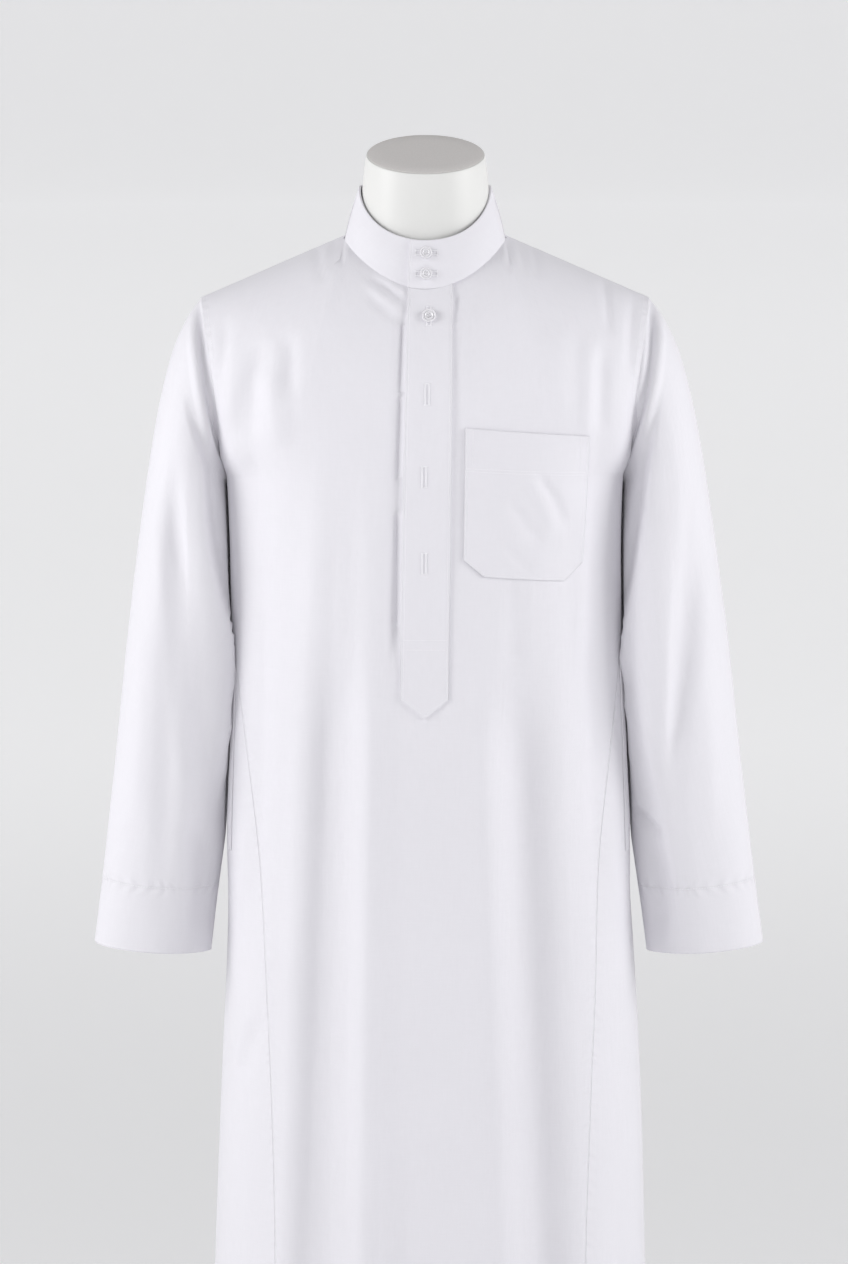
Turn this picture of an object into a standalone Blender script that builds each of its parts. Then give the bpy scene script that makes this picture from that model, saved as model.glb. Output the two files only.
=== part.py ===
"""A long white thobe standing on a limbless dress form.

Metres, +Z up, the front faces -Y, the origin is under the middle of the stand.
The body of the cloth is one surface, cut along its seams into panels; every piece
is a thin closed wall made from its own grid of points.
"""

import math
from collections import namedtuple

import bpy
from mathutils import Vector

# ---- driving dimensions ----
CLOTH = 0.0015              # wall of a panel
COLLAR_WALL = 0.0020        # wall of the stiffened collar band
PLACKET_WALL = 0.0018       # wall of the folded placket strip
SEAM_GAP = 0.0003           # clear gap between pieces that are sewn together
PLACKET_TOP_GAP = 0.0010    # clear gap from the placket's upper end to the neck seam
PATCH_GAP = 0.0008          # clear gap under the chest pocket

HEM_HEIGHT = 0.070
UNDERARM_HEIGHT = 1.305
UNDERARM_HALF = 0.184       # half width of the body at the underarm
GORE_TOP_HALF = 0.007       # half width of a side gore where it starts at the underarm
SHOULDER_TIP = (0.2145, 1.4745)     # x and z of the outer end of the shoulder ridge
NECK_HALF = 0.0770          # half width of the neck opening
NECK_RIDGE_FRONT = 1.534    # height of the shoulder ridge carried on across the front neck
NECK_RIDGE_BACK = 1.558
NECK_FRONT_REACH = 0.0700   # neck opening ahead of the shoulder seam
NECK_BACK_REACH = 0.0720    # and behind it
SHOULDER_DROP = 0.160       # height over which chest and back round over into the shoulder
SEAM_FORWARD = 7.0          # degrees that the shoulder seam lies in front of the ridge
ROUNDNESS = 2.4             # 2 is an ellipse, more is squarer

PLACKET_TOP = (-0.0206, 0.0253)     # x of its two long edges at the collar
PLACKET_FOOT = (-0.0235, 0.0225)    # and at its lower end
PLACKET_FOOT_HEIGHT = 1.105
PLACKET_POINT_HEIGHT = 1.086
PLACKET_TOP_HEIGHT = 1.487

COLLAR_TOP_HALF = 0.0630
COLLAR_TOP_FRONT = (-0.0750, 1.5325)    # y and z of the upper edge in front
COLLAR_TOP_SIDE = (-0.0165, 1.5810)
COLLAR_TOP_BACK = (0.0485, 1.5830)
COLLAR_UNDER_END = 0.0175               # x of the hidden end
COLLAR_OVER_END = -0.0185               # x of the end that lies on top
COLLAR_LAP_START = 0.030                # x from which the upper end stands off the lower one
COLLAR_LAP_LIFT = 0.0006                # how much higher its lower edge sits there
COLLAR_BOW = 0.0008
COLLAR_CELLS = 3

BUTTON_RADIUS = 0.0063
BUTTON_THICK = 0.0028
COLLAR_BUTTONS = {"button_collar_top": 0.73, "button_collar_low": 0.27}   # share of the band height
PLACKET_BUTTON_HEIGHT = 1.463
BUTTON_X = 0.0015

NECK_RADIUS = 0.0556        # neck of the form under its cap
NECK_FOOT_RADIUS = 0.0600
CAP_CENTRE = Vector((0.0005, -0.020, 1.611))
CAP_TILT = 17.5             # degrees that the cap faces forward
CAP_THICK = 0.004
FORM_FOOT = 0.800           # height of the flat underside of the form
FORM_SEAT = 0.00035         # gap between the form and the cloth on the shoulder ridge
FORM_CLEAR = 0.007          # and away from it

POLE_RADIUS = 0.016
BASE_RADIUS = 0.190
BASE_THICK = 0.012
HUB_RADIUS = 0.034
HUB_HEIGHT = 0.050

# ---- girth of the body, a row for each height ----
Girth = namedtuple("Girth", "height half_width front back shift")
BODY_ROWS = (
    Girth(0.070, 0.2270, 0.170, 0.168, 0.0050),
    Girth(0.300, 0.2200, 0.163, 0.161, 0.0050),
    Girth(0.520, 0.2130, 0.154, 0.153, 0.0050),
    Girth(0.684, 0.2070, 0.147, 0.147, 0.0058),
    Girth(0.835, 0.1990, 0.141, 0.141, 0.0055),
    Girth(0.955, 0.1890, 0.137, 0.135, 0.0035),
    Girth(1.083, 0.1820, 0.134, 0.125, 0.0028),
    Girth(1.200, 0.1800, 0.132, 0.119, 0.0010),
    Girth(1.305, 0.1840, 0.130, 0.121, 0.0000),
    Girth(1.330, 0.1950, 0.129, 0.122, 0.0000),
    Girth(1.360, 0.2103, 0.127, 0.123, 0.0000),
    Girth(1.400, 0.2358, 0.124, 0.123, 0.0000),
    Girth(1.440, 0.2525, 0.121, 0.121, 0.0000),
    Girth(1.560, 0.2525, 0.119, 0.117, 0.0000),
)

# ---- where the front and back seams of the side gores run: x at each height ----
GoreSeams = namedtuple("GoreSeams", "height front_seam back_seam")
GORE_ROWS = (
    GoreSeams(0.070, 0.1480, 0.1520),
    GoreSeams(0.562, 0.1490, 0.1540),
    GoreSeams(0.720, 0.1530, 0.1580),
    GoreSeams(0.815, 0.1570, 0.1610),
    GoreSeams(0.937, 0.1610, 0.1650),
    GoreSeams(1.050, 0.1675, 0.1700),
    GoreSeams(1.200, 0.1765, 0.1770),
)

# ---- long folds of front and back: where each runs, how wide and how far out ----
Fold = namedtuple("Fold", "face x_top x_foot top foot half_width rise")
FOLD_ROWS = (
    Fold("front", -0.074, -0.080, 1.180, 0.000, 0.034, 0.0065),
    Fold("front", -0.104, -0.142, 1.120, 0.000, 0.026, -0.0085),
    Fold("front", 0.074, 0.102, 1.150, 0.000, 0.036, 0.0075),
    Fold("front", 0.108, 0.152, 1.080, 0.000, 0.024, -0.0090),
    Fold("front", -0.110, -0.122, 1.360, 1.120, 0.020, 0.0030),
    Fold("front", -0.060, -0.062, 1.370, 1.100, 0.018, 0.0025),
    Fold("back", -0.112, -0.140, 1.240, 0.000, 0.030, 0.0070),
    Fold("back", -0.060, -0.072, 1.050, 0.000, 0.028, -0.0080),
    Fold("back", -0.008, 0.004, 1.300, 0.000, 0.034, 0.0060),
    Fold("back", 0.056, 0.070, 1.120, 0.000, 0.026, -0.0085),
    Fold("back", 0.104, 0.136, 1.260, 0.000, 0.032, 0.0070),
)
FOLD_FADE = 0.16            # length over which a fold rises out of the flat cloth
SLEEVE_FADE = 0.15          # the same on a sleeve, as a share of its length

# ---- sleeve, a ring for each row: outer and inner side in the front view, then depth ----
SleeveRing = namedtuple("SleeveRing", "outer_x outer_z inner_x inner_z half_depth centre_y")
SLEEVE_ROWS = (
    SleeveRing(0.2290, 1.4540, 0.1866, 1.290, 0.069, -0.002),
    SleeveRing(0.2430, 1.4230, 0.1874, 1.268, 0.069, -0.006),
    SleeveRing(0.2545, 1.3800, 0.1868, 1.240, 0.068, -0.012),
    SleeveRing(0.2640, 1.3300, 0.1856, 1.205, 0.066, -0.018),
    SleeveRing(0.2732, 1.2700, 0.1840, 1.165, 0.064, -0.024),
    SleeveRing(0.2820, 1.2050, 0.1830, 1.120, 0.061, -0.029),
    SleeveRing(0.2905, 1.1350, 0.1838, 1.070, 0.058, -0.032),
    SleeveRing(0.2990, 1.0600, 0.1890, 1.010, 0.054, -0.033),
    SleeveRing(0.3078, 0.9850, 0.1975, 0.948, 0.049, -0.033),
    SleeveRing(0.3165, 0.9150, 0.2050, 0.895, 0.044, -0.032),
    SleeveRing(0.3250, 0.8520, 0.2117, 0.843, 0.040, -0.031),
)
SLEEVE_LEAN = 0.0038        # how much further out the wearer's left cuff hangs than its twin

# ---- long folds of a sleeve: turn is 0 on the outer side, 90 in front, 180 inside ----
SleeveFold = namedtuple("SleeveFold", "side turn_top turn_foot top foot half_turn rise")
SLEEVE_FOLD_ROWS = (
    SleeveFold(-1, 128.0, 158.0, 0.10, 0.62, 20.0, -0.0060),
    SleeveFold(-1, 66.0, 98.0, 0.25, 0.98, 20.0, -0.0040),
    SleeveFold(-1, 250.0, 228.0, 0.20, 0.85, 22.0, -0.0050),
    SleeveFold(1, 120.0, 160.0, 0.06, 0.55, 20.0, -0.0065),
    SleeveFold(1, 92.0, 118.0, 0.18, 0.92, 18.0, 0.0045),
    SleeveFold(1, 246.0, 262.0, 0.22, 0.90, 22.0, -0.0050),
)

# ---- chest pocket, corner by corner: share of the width, height at that edge ----
PocketRow = namedtuple("PocketRow", "left_x left_z right_x right_z")
POCKET_ROWS = (
    PocketRow(0.0373, 1.3601, 0.1545, 1.3500),
    PocketRow(0.0370, 1.3400, 0.1538, 1.3320),
    PocketRow(0.0367, 1.3150, 0.1528, 1.3080),
    PocketRow(0.0362, 1.2760, 0.1508, 1.2690),
    PocketRow(0.0356, 1.2366, 0.1485, 1.2300),
    PocketRow(0.0543, 1.2206, 0.1315, 1.2136),
)
POCKET_CELLS = 14

BODY_HEIGHTS = (0.070, 0.150, 0.250, 0.360, 0.470, 0.570, 0.660, 0.745, 0.825, 0.900, 0.970,
                1.035, PLACKET_POINT_HEIGHT, PLACKET_FOOT_HEIGHT, 1.155, 1.205, 1.255, 1.305)
SIDE_CELLS = 11             # columns from the placket's edge to the side, on each half
NECK_CELLS = 5              # of those, the ones that end on the neck opening
GORE_CELLS = 6
FRONT_ANGLES = (90.0, 78.0, 66.0, 54.0, 43.0, 33.0, 24.0, 15.0, SEAM_FORWARD)
BACK_ANGLES = (90.0, 78.0, 66.0, 54.0, 43.0, 33.0, 22.0, 11.0, 0.0, -SEAM_FORWARD)

CLOTH_WHITE = (0.86, 0.86, 0.90, 1.0)
PEARL = (0.88, 0.88, 0.88, 1.0)
FORM_WHITE = (0.82, 0.82, 0.80, 1.0)
CAP_GREY = (0.55, 0.53, 0.50, 1.0)
STEEL = (0.62, 0.62, 0.63, 1.0)


# ---- small helpers ----
def at_height(rows, column, height):
    """Value of one named column at a height, on a smooth curve through the rows."""
    if height <= rows[0].height:
        return getattr(rows[0], column)
    if height >= rows[-1].height:
        return getattr(rows[-1], column)
    last = next(i for i, row in enumerate(rows) if row.height >= height)
    near = (rows[max(last - 2, 0)], rows[last - 1], rows[last], rows[min(last + 1, len(rows) - 1)])
    before, low, high, after = (getattr(row, column) for row in near)
    step = near[2].height - near[1].height
    share = (height - near[1].height) / step
    slope_low = (high - before) / (near[2].height - near[0].height) * step
    slope_high = (after - low) / (near[3].height - near[1].height) * step
    cubed, squared = share ** 3, share ** 2
    return ((2 * cubed - 3 * squared + 1) * low + (cubed - 2 * squared + share) * slope_low
            + (3 * squared - 2 * cubed) * high + (cubed - squared) * slope_high)


def blend(start, end, share):
    return start + (end - start) * share


def ease(share):
    share = min(max(share, 0.0), 1.0)
    return share * share * (3 - 2 * share)


def bump(distance):
    """1 at the middle of a fold, 0 from its edge on."""
    return 0.5 + 0.5 * math.cos(math.pi * distance) if abs(distance) < 1 else 0.0


# ---- the surface of the body ----
def girth(name, height):
    return at_height(BODY_ROWS, name, height)


def fold_rise(face, x, height):
    """How far the folds of the front or the back stand out at one place."""
    total = 0.0
    for fold in FOLD_ROWS:
        if fold.face == face and height < fold.top:
            middle = blend(fold.x_foot, fold.x_top, (height - fold.foot) / (fold.top - fold.foot))
            fade = ease((fold.top - height) / FOLD_FADE)
            total += fold.rise * bump((x - middle) / fold.half_width) * fade
    return total


def body_y(x, height, face, share=1.0, plain=False):
    """Depth of the cloth at x; share is below 1 where it rounds over into the shoulder."""
    out = min(abs(x - girth("shift", height)) / girth("half_width", height), 1.0)
    depth = (1.0 - out ** ROUNDNESS) ** (1.0 / ROUNDNESS) * share
    folds = 0.0 if plain else fold_rise(face, x, height)
    reach = (girth(face, height) + folds) * depth
    return -reach if face == "front" else reach


def ring_x(turn, height):
    """x at a turn around the body: 0 in the middle of front or back, 90 at the side."""
    lean = math.sin(math.radians(turn))
    share = math.copysign(abs(lean) ** (2.0 / ROUNDNESS), lean)
    return girth("shift", height) + girth("half_width", height) * share


def ring_turn(x, height):
    out = (x - girth("shift", height)) / girth("half_width", height)
    out = min(max(out, -1.0), 1.0)
    return math.degrees(math.asin(math.copysign(abs(out) ** (ROUNDNESS / 2.0), out)))


def seam_x(face, side, height):
    """x of a side gore's front or back seam."""
    last_height = GORE_ROWS[-1].height
    column = face + "_seam"
    if height <= last_height:
        return side * at_height(GORE_ROWS, column, height) + girth("shift", height)
    depth = girth(face, UNDERARM_HEIGHT)
    top = UNDERARM_HALF * (1.0 - (GORE_TOP_HALF / depth) ** ROUNDNESS) ** (1.0 / ROUNDNESS)
    share = (height - last_height) / (UNDERARM_HEIGHT - last_height)
    return side * blend(getattr(GORE_ROWS[-1], column), top, share) + girth("shift", height)


def placket_x(side, height):
    share = (height - PLACKET_FOOT_HEIGHT) / (PLACKET_TOP_HEIGHT - PLACKET_FOOT_HEIGHT)
    edge = 0 if side < 0 else 1
    return blend(PLACKET_FOOT[edge], PLACKET_TOP[edge], share)


def shoulder_ridge(x):
    """Height of the shoulder ridge at x, beyond the neck opening."""
    tip_x, tip_z = SHOULDER_TIP
    return blend(NECK_RIDGE_FRONT, tip_z, (abs(x) - NECK_HALF) / (tip_x - NECK_HALF))


# ---- the columns of front and back, each a line in the front view ----
def row_xs(face, height):
    """x of every column at one height below the underarm."""
    xs = []
    for side in (-1, 1):
        inner = placket_x(side, height)
        start, end = ring_turn(inner, height), ring_turn(seam_x(face, side, height), height)
        half = [ring_x(blend(start, end, k / SIDE_CELLS), height) for k in range(SIDE_CELLS + 1)]
        half[0], half[-1] = inner, seam_x(face, side, height)
        xs.append(half)
    middle = (xs[0][0] + xs[1][0]) / 2
    return xs[0][::-1] + [middle] + xs[1]


def top_columns(face):
    """For every column: its x at the top, the ridge above it and the angle that it ends at."""
    middle_cells = SIDE_CELLS - NECK_CELLS
    columns = []
    for side in (-1, 1):
        inner = placket_x(side, PLACKET_TOP_HEIGHT)
        start = math.degrees(math.asin(abs(inner) / NECK_HALF))
        for k in range(NECK_CELLS + 1):
            x = side * NECK_HALF * math.sin(math.radians(blend(start, 90.0, k / NECK_CELLS)))
            columns.append(x)
        columns += [side * blend(NECK_HALF, SHOULDER_TIP[0], k / middle_cells)
                    for k in range(1, middle_cells + 1)]
    half = SIDE_CELLS + 1
    left, right = columns[:half], columns[half:]
    return [top_column(face, x) for x in left[::-1] + [(left[0] + right[0]) / 2] + right]


def top_column(face, x):
    if abs(x) >= NECK_HALF - 1e-6:
        return x, shoulder_ridge(x), SEAM_FORWARD if face == "front" else -SEAM_FORWARD
    return x, neck_ridge(face, x), neck_angle(face, x)


def neck_ridge(face, x):
    if face == "front":
        return NECK_RIDGE_FRONT
    return blend(NECK_RIDGE_BACK, NECK_RIDGE_FRONT, (abs(x) / NECK_HALF) ** 2)


def neck_angle(face, x):
    """Angle on the rounded shoulder at which the surface meets the neck opening."""
    across = math.sqrt(max(1.0 - (x / NECK_HALF) ** 2, 0.0))
    seam_y = body_y(NECK_HALF, NECK_RIDGE_FRONT, "front", math.sin(math.radians(SEAM_FORWARD)))
    reach = -NECK_FRONT_REACH if face == "front" else NECK_BACK_REACH
    full = body_y(x, neck_ridge(face, x), face)
    return math.degrees(math.asin((seam_y + reach * across) / full))


def upper_point(face, column, chest_x, angle, plain):
    """Point above the underarm: a column runs straight in the front view and rounds over."""
    top_x, ridge, end = column
    height = ridge - SHOULDER_DROP * (1.0 - math.cos(math.radians(angle)))
    end_height = ridge - SHOULDER_DROP * (1.0 - math.cos(math.radians(max(end, 0.0))))
    share = (height - UNDERARM_HEIGHT) / (end_height - UNDERARM_HEIGHT)
    x = blend(chest_x, top_x, share) if angle > max(end, 0.0) else top_x
    here = face if angle >= 0.0 else "front"
    return Vector((x, body_y(x, height, here, abs(math.sin(math.radians(angle))), plain), height))


def panel_grid(face, plain=False):
    """Rows of points from the hem to the shoulder seam and neck, columns from -X to +X."""
    rows = [[Vector((x, body_y(x, height, face, plain=plain), height)) for x in row_xs(face, height)]
            for height in BODY_HEIGHTS]
    chest = rows[-1]
    angles = FRONT_ANGLES if face == "front" else BACK_ANGLES
    for angle in angles:
        share = (angles[0] - angle) / (angles[0] - angles[-1])
        row = []
        for at_chest, column in zip(chest, top_columns(face)):
            on_neck = abs(column[0]) < NECK_HALF - 1e-6
            column_angle = blend(angles[0], column[2], share) if on_neck else angle
            row.append(upper_point(face, column, at_chest.x, column_angle, plain))
        rows.append(row)
    return rows


def gore_grid(side, front, back, plain=False):
    """Rows from the hem to the underarm, columns from the front seam round to the back seam."""
    edge = 0 if side < 0 else -1
    rows = []
    for k, height in enumerate(BODY_HEIGHTS):
        start = ring_turn(front[k][edge].x, height)
        end = side * 180.0 - ring_turn(back[k][edge].x, height)
        row = []
        for j in range(1, GORE_CELLS):
            turn = blend(start, end, j / GORE_CELLS)
            face = "front" if abs(turn) <= 90.0 else "back"
            x = ring_x(turn, height)
            row.append(Vector((x, body_y(x, height, face, plain=plain), height)))
        rows.append([front[k][edge].copy()] + row + [back[k][edge].copy()])
    return rows


# ---- walls ----
def grid_normals(grids):
    """Outward direction at every grid point, shared by the pieces that meet there."""
    totals = {}
    for rows, facing in grids:
        for low, high in zip(rows, rows[1:]):
            for j in range(len(low) - 1):
                corners = (low[j], low[j + 1], high[j + 1], high[j])
                across = (corners[2] - corners[0]).cross(corners[3] - corners[1]) * facing
                for corner in corners:
                    key = point_key(corner)
                    totals[key] = totals.get(key, Vector()) + across
    return {key: total.normalized() for key, total in totals.items()}


def point_key(point):
    return tuple(round(value, 6) for value in point)


def normals_of(rows, normals):
    return [[normals[point_key(point)] for point in row] for row in rows]


def pull_edges(rows, sides):
    """Draw the named edges of a grid back from their seams by half a gap."""
    rows = [[point.copy() for point in row] for row in rows]
    for side in sides:
        if side in ("first", "last"):
            edge, inner = (0, 1) if side == "first" else (-1, -2)
            for row in rows:
                row[edge] += (row[inner] - row[edge]).normalized() * SEAM_GAP / 2
        else:
            edge, inner = (0, 1) if side == "foot" else (-1, -2)
            for j, point in enumerate(rows[edge]):
                point += (rows[inner][j] - point).normalized() * SEAM_GAP / 2
    return rows


def halves(cell):
    """A grid cell split along one diagonal, the same in every layer of the cloth."""
    return [[cell[0], cell[1], cell[2]], [cell[0], cell[2], cell[3]]]


def add_wall(name, outer, inward, material, ring=False, facing=1):
    """One closed wall: outer points, the same points moved along inward, and its edges."""
    count, width = len(outer), len(outer[0])
    inner = [[point + step for point, step in zip(*pair)] for pair in zip(outer, inward)]
    points = [tuple(point) for rows in (outer, inner) for row in rows for point in row]

    def index(layer, k, j):
        return layer * count * width + k * width + j % width

    faces = []
    columns = width if ring else width - 1
    for k in range(count - 1):
        for j in range(columns):
            for layer in (0, 1):
                cell = [index(layer, k, j), index(layer, k, j + 1),
                        index(layer, k + 1, j + 1), index(layer, k + 1, j)]
                faces += [face[::-1] for face in halves(cell)] if layer else halves(cell)
    for j in range(columns):
        faces.append([index(1, 0, j), index(1, 0, j + 1), index(0, 0, j + 1), index(0, 0, j)])
        top = count - 1
        faces.append([index(0, top, j), index(0, top, j + 1), index(1, top, j + 1), index(1, top, j)])
    if not ring:
        for k in range(count - 1):
            faces.append([index(0, k, 0), index(0, k + 1, 0), index(1, k + 1, 0), index(1, k, 0)])
            side = width - 1
            faces.append([index(1, k, side), index(1, k + 1, side), index(0, k + 1, side), index(0, k, side)])
    if facing < 0:
        faces = [face[::-1] for face in faces]
    return add_mesh(name, points, faces, material)


def add_mesh(name, points, faces, material, smooth_angle=50.0):
    mesh = bpy.data.meshes.new(name)
    mesh.from_pydata(points, [], faces)
    mesh.shade_smooth()
    mesh.set_sharp_from_angle(angle=math.radians(smooth_angle))
    mesh.materials.append(material)
    piece = bpy.data.objects.new(name, mesh)
    bpy.context.collection.objects.link(piece)
    return piece


def make_material(name, colour, roughness, metallic=0.0):
    material = bpy.data.materials.new(name)
    material.use_nodes = True
    shader = material.node_tree.nodes["Principled BSDF"]
    shader.inputs["Base Color"].default_value = colour
    shader.inputs["Roughness"].default_value = roughness
    shader.inputs["Metallic"].default_value = metallic
    return material


# ---- body panels ----
def armhole_clear(step, side, away):
    """A wall step at an armhole, kept from leaning over the seam into the other piece."""
    step = step.copy()
    if step.x * side * away < 0.0:
        step.x = 0.0
    return step.normalized() * CLOTH


def add_panel(name, rows, normals, sides, material, facing):
    inward = [[normal * -CLOTH for normal in row] for row in normals_of(rows, normals)]
    chest = len(BODY_HEIGHTS) - 1
    for k in range(chest, len(rows)):
        for edge, side in ((0, -1), (-1, 1)):
            inward[k][edge] = armhole_clear(inward[k][edge], side, -1)
    return add_wall(name, pull_edges(rows, sides), inward, material, facing=facing)


def add_gore(name, rows, normals, side, material):
    inward = [[normal * -CLOTH for normal in row] for row in normals_of(rows, normals)]
    inward[-1] = [armhole_clear(step, side, -1) for step in inward[-1]]
    return add_wall(name, pull_edges(rows, ("first", "last")), inward, material, facing=side)


# ---- sleeves ----
def armhole_loop(side, front, back, gore):
    """Armhole points from the shoulder seam down the front, under the arm and up the back."""
    edge = 0 if side < 0 else -1
    chest = len(BODY_HEIGHTS) - 1
    down = [front[k][edge] for k in range(len(front) - 1, chest - 1, -1)]
    up = [back[k][edge] for k in range(chest, len(back) - 1)]
    return [point.copy() for point in down + gore[-1][1:-1] + up]


def sleeve_fold(side, turn, share):
    total = 0.0
    for fold in SLEEVE_FOLD_ROWS:
        if fold.side == side and fold.top < share < fold.foot:
            middle = blend(fold.turn_top, fold.turn_foot, (share - fold.top) / (fold.foot - fold.top))
            fade = ease((share - fold.top) / SLEEVE_FADE) * ease((fold.foot - share) / SLEEVE_FADE)
            total += fold.rise * bump((turn - middle) / fold.half_turn) * fade
    return total


def sleeve_grid(side, loop):
    """Rings of points from the armhole to the cuff."""
    tip, under = loop[0], loop[(len(FRONT_ANGLES) + 1) + (GORE_CELLS - 2) // 2]
    centre, up = (tip + under) / 2, (tip - under) / 2
    start_turns = []
    for point in loop:
        out = point - centre
        along = out.dot(up) / up.length_squared
        start_turns.append(math.degrees(math.atan2(-out.y / SLEEVE_ROWS[0].half_depth, along)) % 360.0)
    start_turns[0] = 0.0
    rings = [loop]
    for k, row in enumerate(SLEEVE_ROWS):
        share = (k + 1) / len(SLEEVE_ROWS)
        lean = SLEEVE_LEAN * share
        outer = Vector((side * row.outer_x + lean, row.centre_y, row.outer_z))
        inner = Vector((side * row.inner_x + lean, row.centre_y, row.inner_z))
        middle, half = (outer + inner) / 2, (outer - inner) / 2
        ring = []
        for j, start in enumerate(start_turns):
            turn = blend(start, 360.0 * j / len(loop), ease(share * 2))
            grow = 1.0 + sleeve_fold(side, turn, share) / half.length
            angle = math.radians(turn)
            ring.append(middle + (half * math.cos(angle)
                                  - Vector((0, row.half_depth, 0)) * math.sin(angle)) * grow)
        rings.append(ring)
    return rings


def add_sleeve(name, rings, side, material):
    """Rings run down the front first on both sides, so the grid faces out or in by side."""
    normals = grid_normals([([ring + [ring[0]] for ring in rings], side)])
    inward = [[normal * -CLOTH for normal in row] for row in normals_of(rings, normals)]
    inward[0] = [armhole_clear(step, side, 1) for step in inward[0]]
    outer = [[point.copy() for point in ring] for ring in rings]
    for point in outer[0]:
        point.x += side * SEAM_GAP
    return add_wall(name, outer, inward, material, ring=True, facing=side)


# ---- collar band, a strip whose ends lap in front ----
def point_at_x(row, x):
    """Point of a polyline, ordered by x, at one x."""
    for low, high in zip(row, row[1:]):
        if low.x <= x <= high.x:
            return low.lerp(high, (x - low.x) / (high.x - low.x))
    return row[-1].copy()


def collar_top(base, front_side):
    across = min(max(base.x / NECK_HALF, -1.0), 1.0)
    depth = math.sqrt(1.0 - across ** 2)
    end = COLLAR_TOP_FRONT if front_side else COLLAR_TOP_BACK
    return Vector((COLLAR_TOP_HALF * across, blend(COLLAR_TOP_SIDE[0], end[0], depth),
                   blend(COLLAR_TOP_SIDE[1], end[1], depth)))


def collar_grid(front, back):
    """Rows from the neck seam up, columns from the hidden end round the back to the upper end."""
    neck_front = [point for point in front[-1] if abs(point.x) <= NECK_HALF + 1e-6]
    neck_back = [point for point in back[-1] if abs(point.x) < NECK_HALF - 1e-6]
    lap_out = COLLAR_WALL + SEAM_GAP
    stations = [(point_at_x(neck_front, COLLAR_UNDER_END), True, 0.0)]
    stations += [(point, True, 0.0) for point in reversed(neck_front) if point.x < COLLAR_UNDER_END]
    stations += [(point, False, 0.0) for point in neck_back]
    for point in reversed(neck_front):
        if point.x > COLLAR_OVER_END:
            lap = ease((NECK_HALF - point.x) / (NECK_HALF - COLLAR_LAP_START))
            stations.append((point, True, lap * lap_out))
    stations.append((point_at_x(neck_front, COLLAR_OVER_END), True, lap_out))
    rows = []
    for k in range(COLLAR_CELLS + 1):
        share = k / COLLAR_CELLS
        row = []
        for base, front_side, lap in stations:
            point = base.lerp(collar_top(base, front_side), share)
            out = Vector((base.x, base.y - COLLAR_TOP_SIDE[0], 0.0)).normalized()
            lift = Vector((0.0, 0.0, COLLAR_LAP_LIFT * lap / lap_out * (1.0 - share)))
            row.append(point + out * (lap + COLLAR_BOW * math.sin(math.pi * share)) + lift)
        rows.append(row)
    return rows


def add_collar(rows, material):
    """Columns run clockwise seen from above, so the grid faces inward."""
    normals = grid_normals([(rows, -1)])
    inward = [[normal * -COLLAR_WALL for normal in row] for row in normals_of(rows, normals)]
    return add_wall("collar_band", pull_edges(rows, ("foot",)), inward, material, facing=-1)


# ---- placket and pocket, made from the front panel's own points ----
def add_placket(front, normals, material):
    middle = SIDE_CELLS + 1
    foot = BODY_HEIGHTS.index(PLACKET_FOOT_HEIGHT)
    rise = SEAM_GAP + PLACKET_WALL
    outer = [[front[k][j] + normals[point_key(front[k][j])] * rise
              for j in (middle - 1, middle, middle + 1)] for k in range(foot, len(front))]
    inward = [[normals[point_key(front[k][j])] * -PLACKET_WALL
               for j in (middle - 1, middle, middle + 1)] for k in range(foot, len(front))]
    tip = front[BODY_HEIGHTS.index(PLACKET_POINT_HEIGHT)][middle]
    outer[0][1] = tip + normals[point_key(tip)] * rise
    inward[0][1] = normals[point_key(tip)] * -PLACKET_WALL
    for point, below in zip(outer[-1], outer[-2]):
        point += (below - point).normalized() * PLACKET_TOP_GAP
    add_wall("placket", outer, inward, material)
    return outer


def front_shares(triangle, x, height):
    """Shares of a triangle's corners at x and height in the front view."""
    first, second, third = triangle
    area = (second.x - first.x) * (third.z - first.z) - (third.x - first.x) * (second.z - first.z)
    to_second = ((x - first.x) * (third.z - first.z) - (third.x - first.x) * (height - first.z)) / area
    to_third = ((second.x - first.x) * (height - first.z) - (x - first.x) * (second.z - first.z)) / area
    return 1.0 - to_second - to_third, to_second, to_third


def on_front(front, normals, x, height):
    """Point and outward direction of the front panel at x and height in the front view."""
    for low, high in zip(front, front[1:]):
        for j in range(len(low) - 1):
            for triangle in halves([low[j], low[j + 1], high[j + 1], high[j]]):
                shares = front_shares(triangle, x, height)
                if min(shares) >= -1e-6:
                    point = sum((c * share for c, share in zip(triangle, shares)), Vector())
                    out = sum((normals[point_key(c)] * share
                               for c, share in zip(triangle, shares)), Vector())
                    return point, out.normalized()
    raise ValueError(f"the front panel isn't at {x}, {height}")


def add_pocket(front, normals, material):
    outer, inward = [], []
    halfway = [PocketRow(*(blend(a, b, 0.5) for a, b in zip(*pair)))
               for pair in zip(POCKET_ROWS, POCKET_ROWS[1:])]
    for level in sorted(list(POCKET_ROWS) + halfway, key=lambda level: level.left_z):
        row = []
        for j in range(POCKET_CELLS + 1):
            share = 1.0 - (1.0 - j / POCKET_CELLS) ** 1.4
            row.append(on_front(front, normals, blend(level.left_x, level.right_x, share),
                                blend(level.left_z, level.right_z, share)))
        outer.append([point + normal * (PATCH_GAP + CLOTH) for point, normal in row])
        inward.append([normal * -CLOTH for point, normal in row])
    return add_wall("chest_pocket", outer, inward, material)


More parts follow.
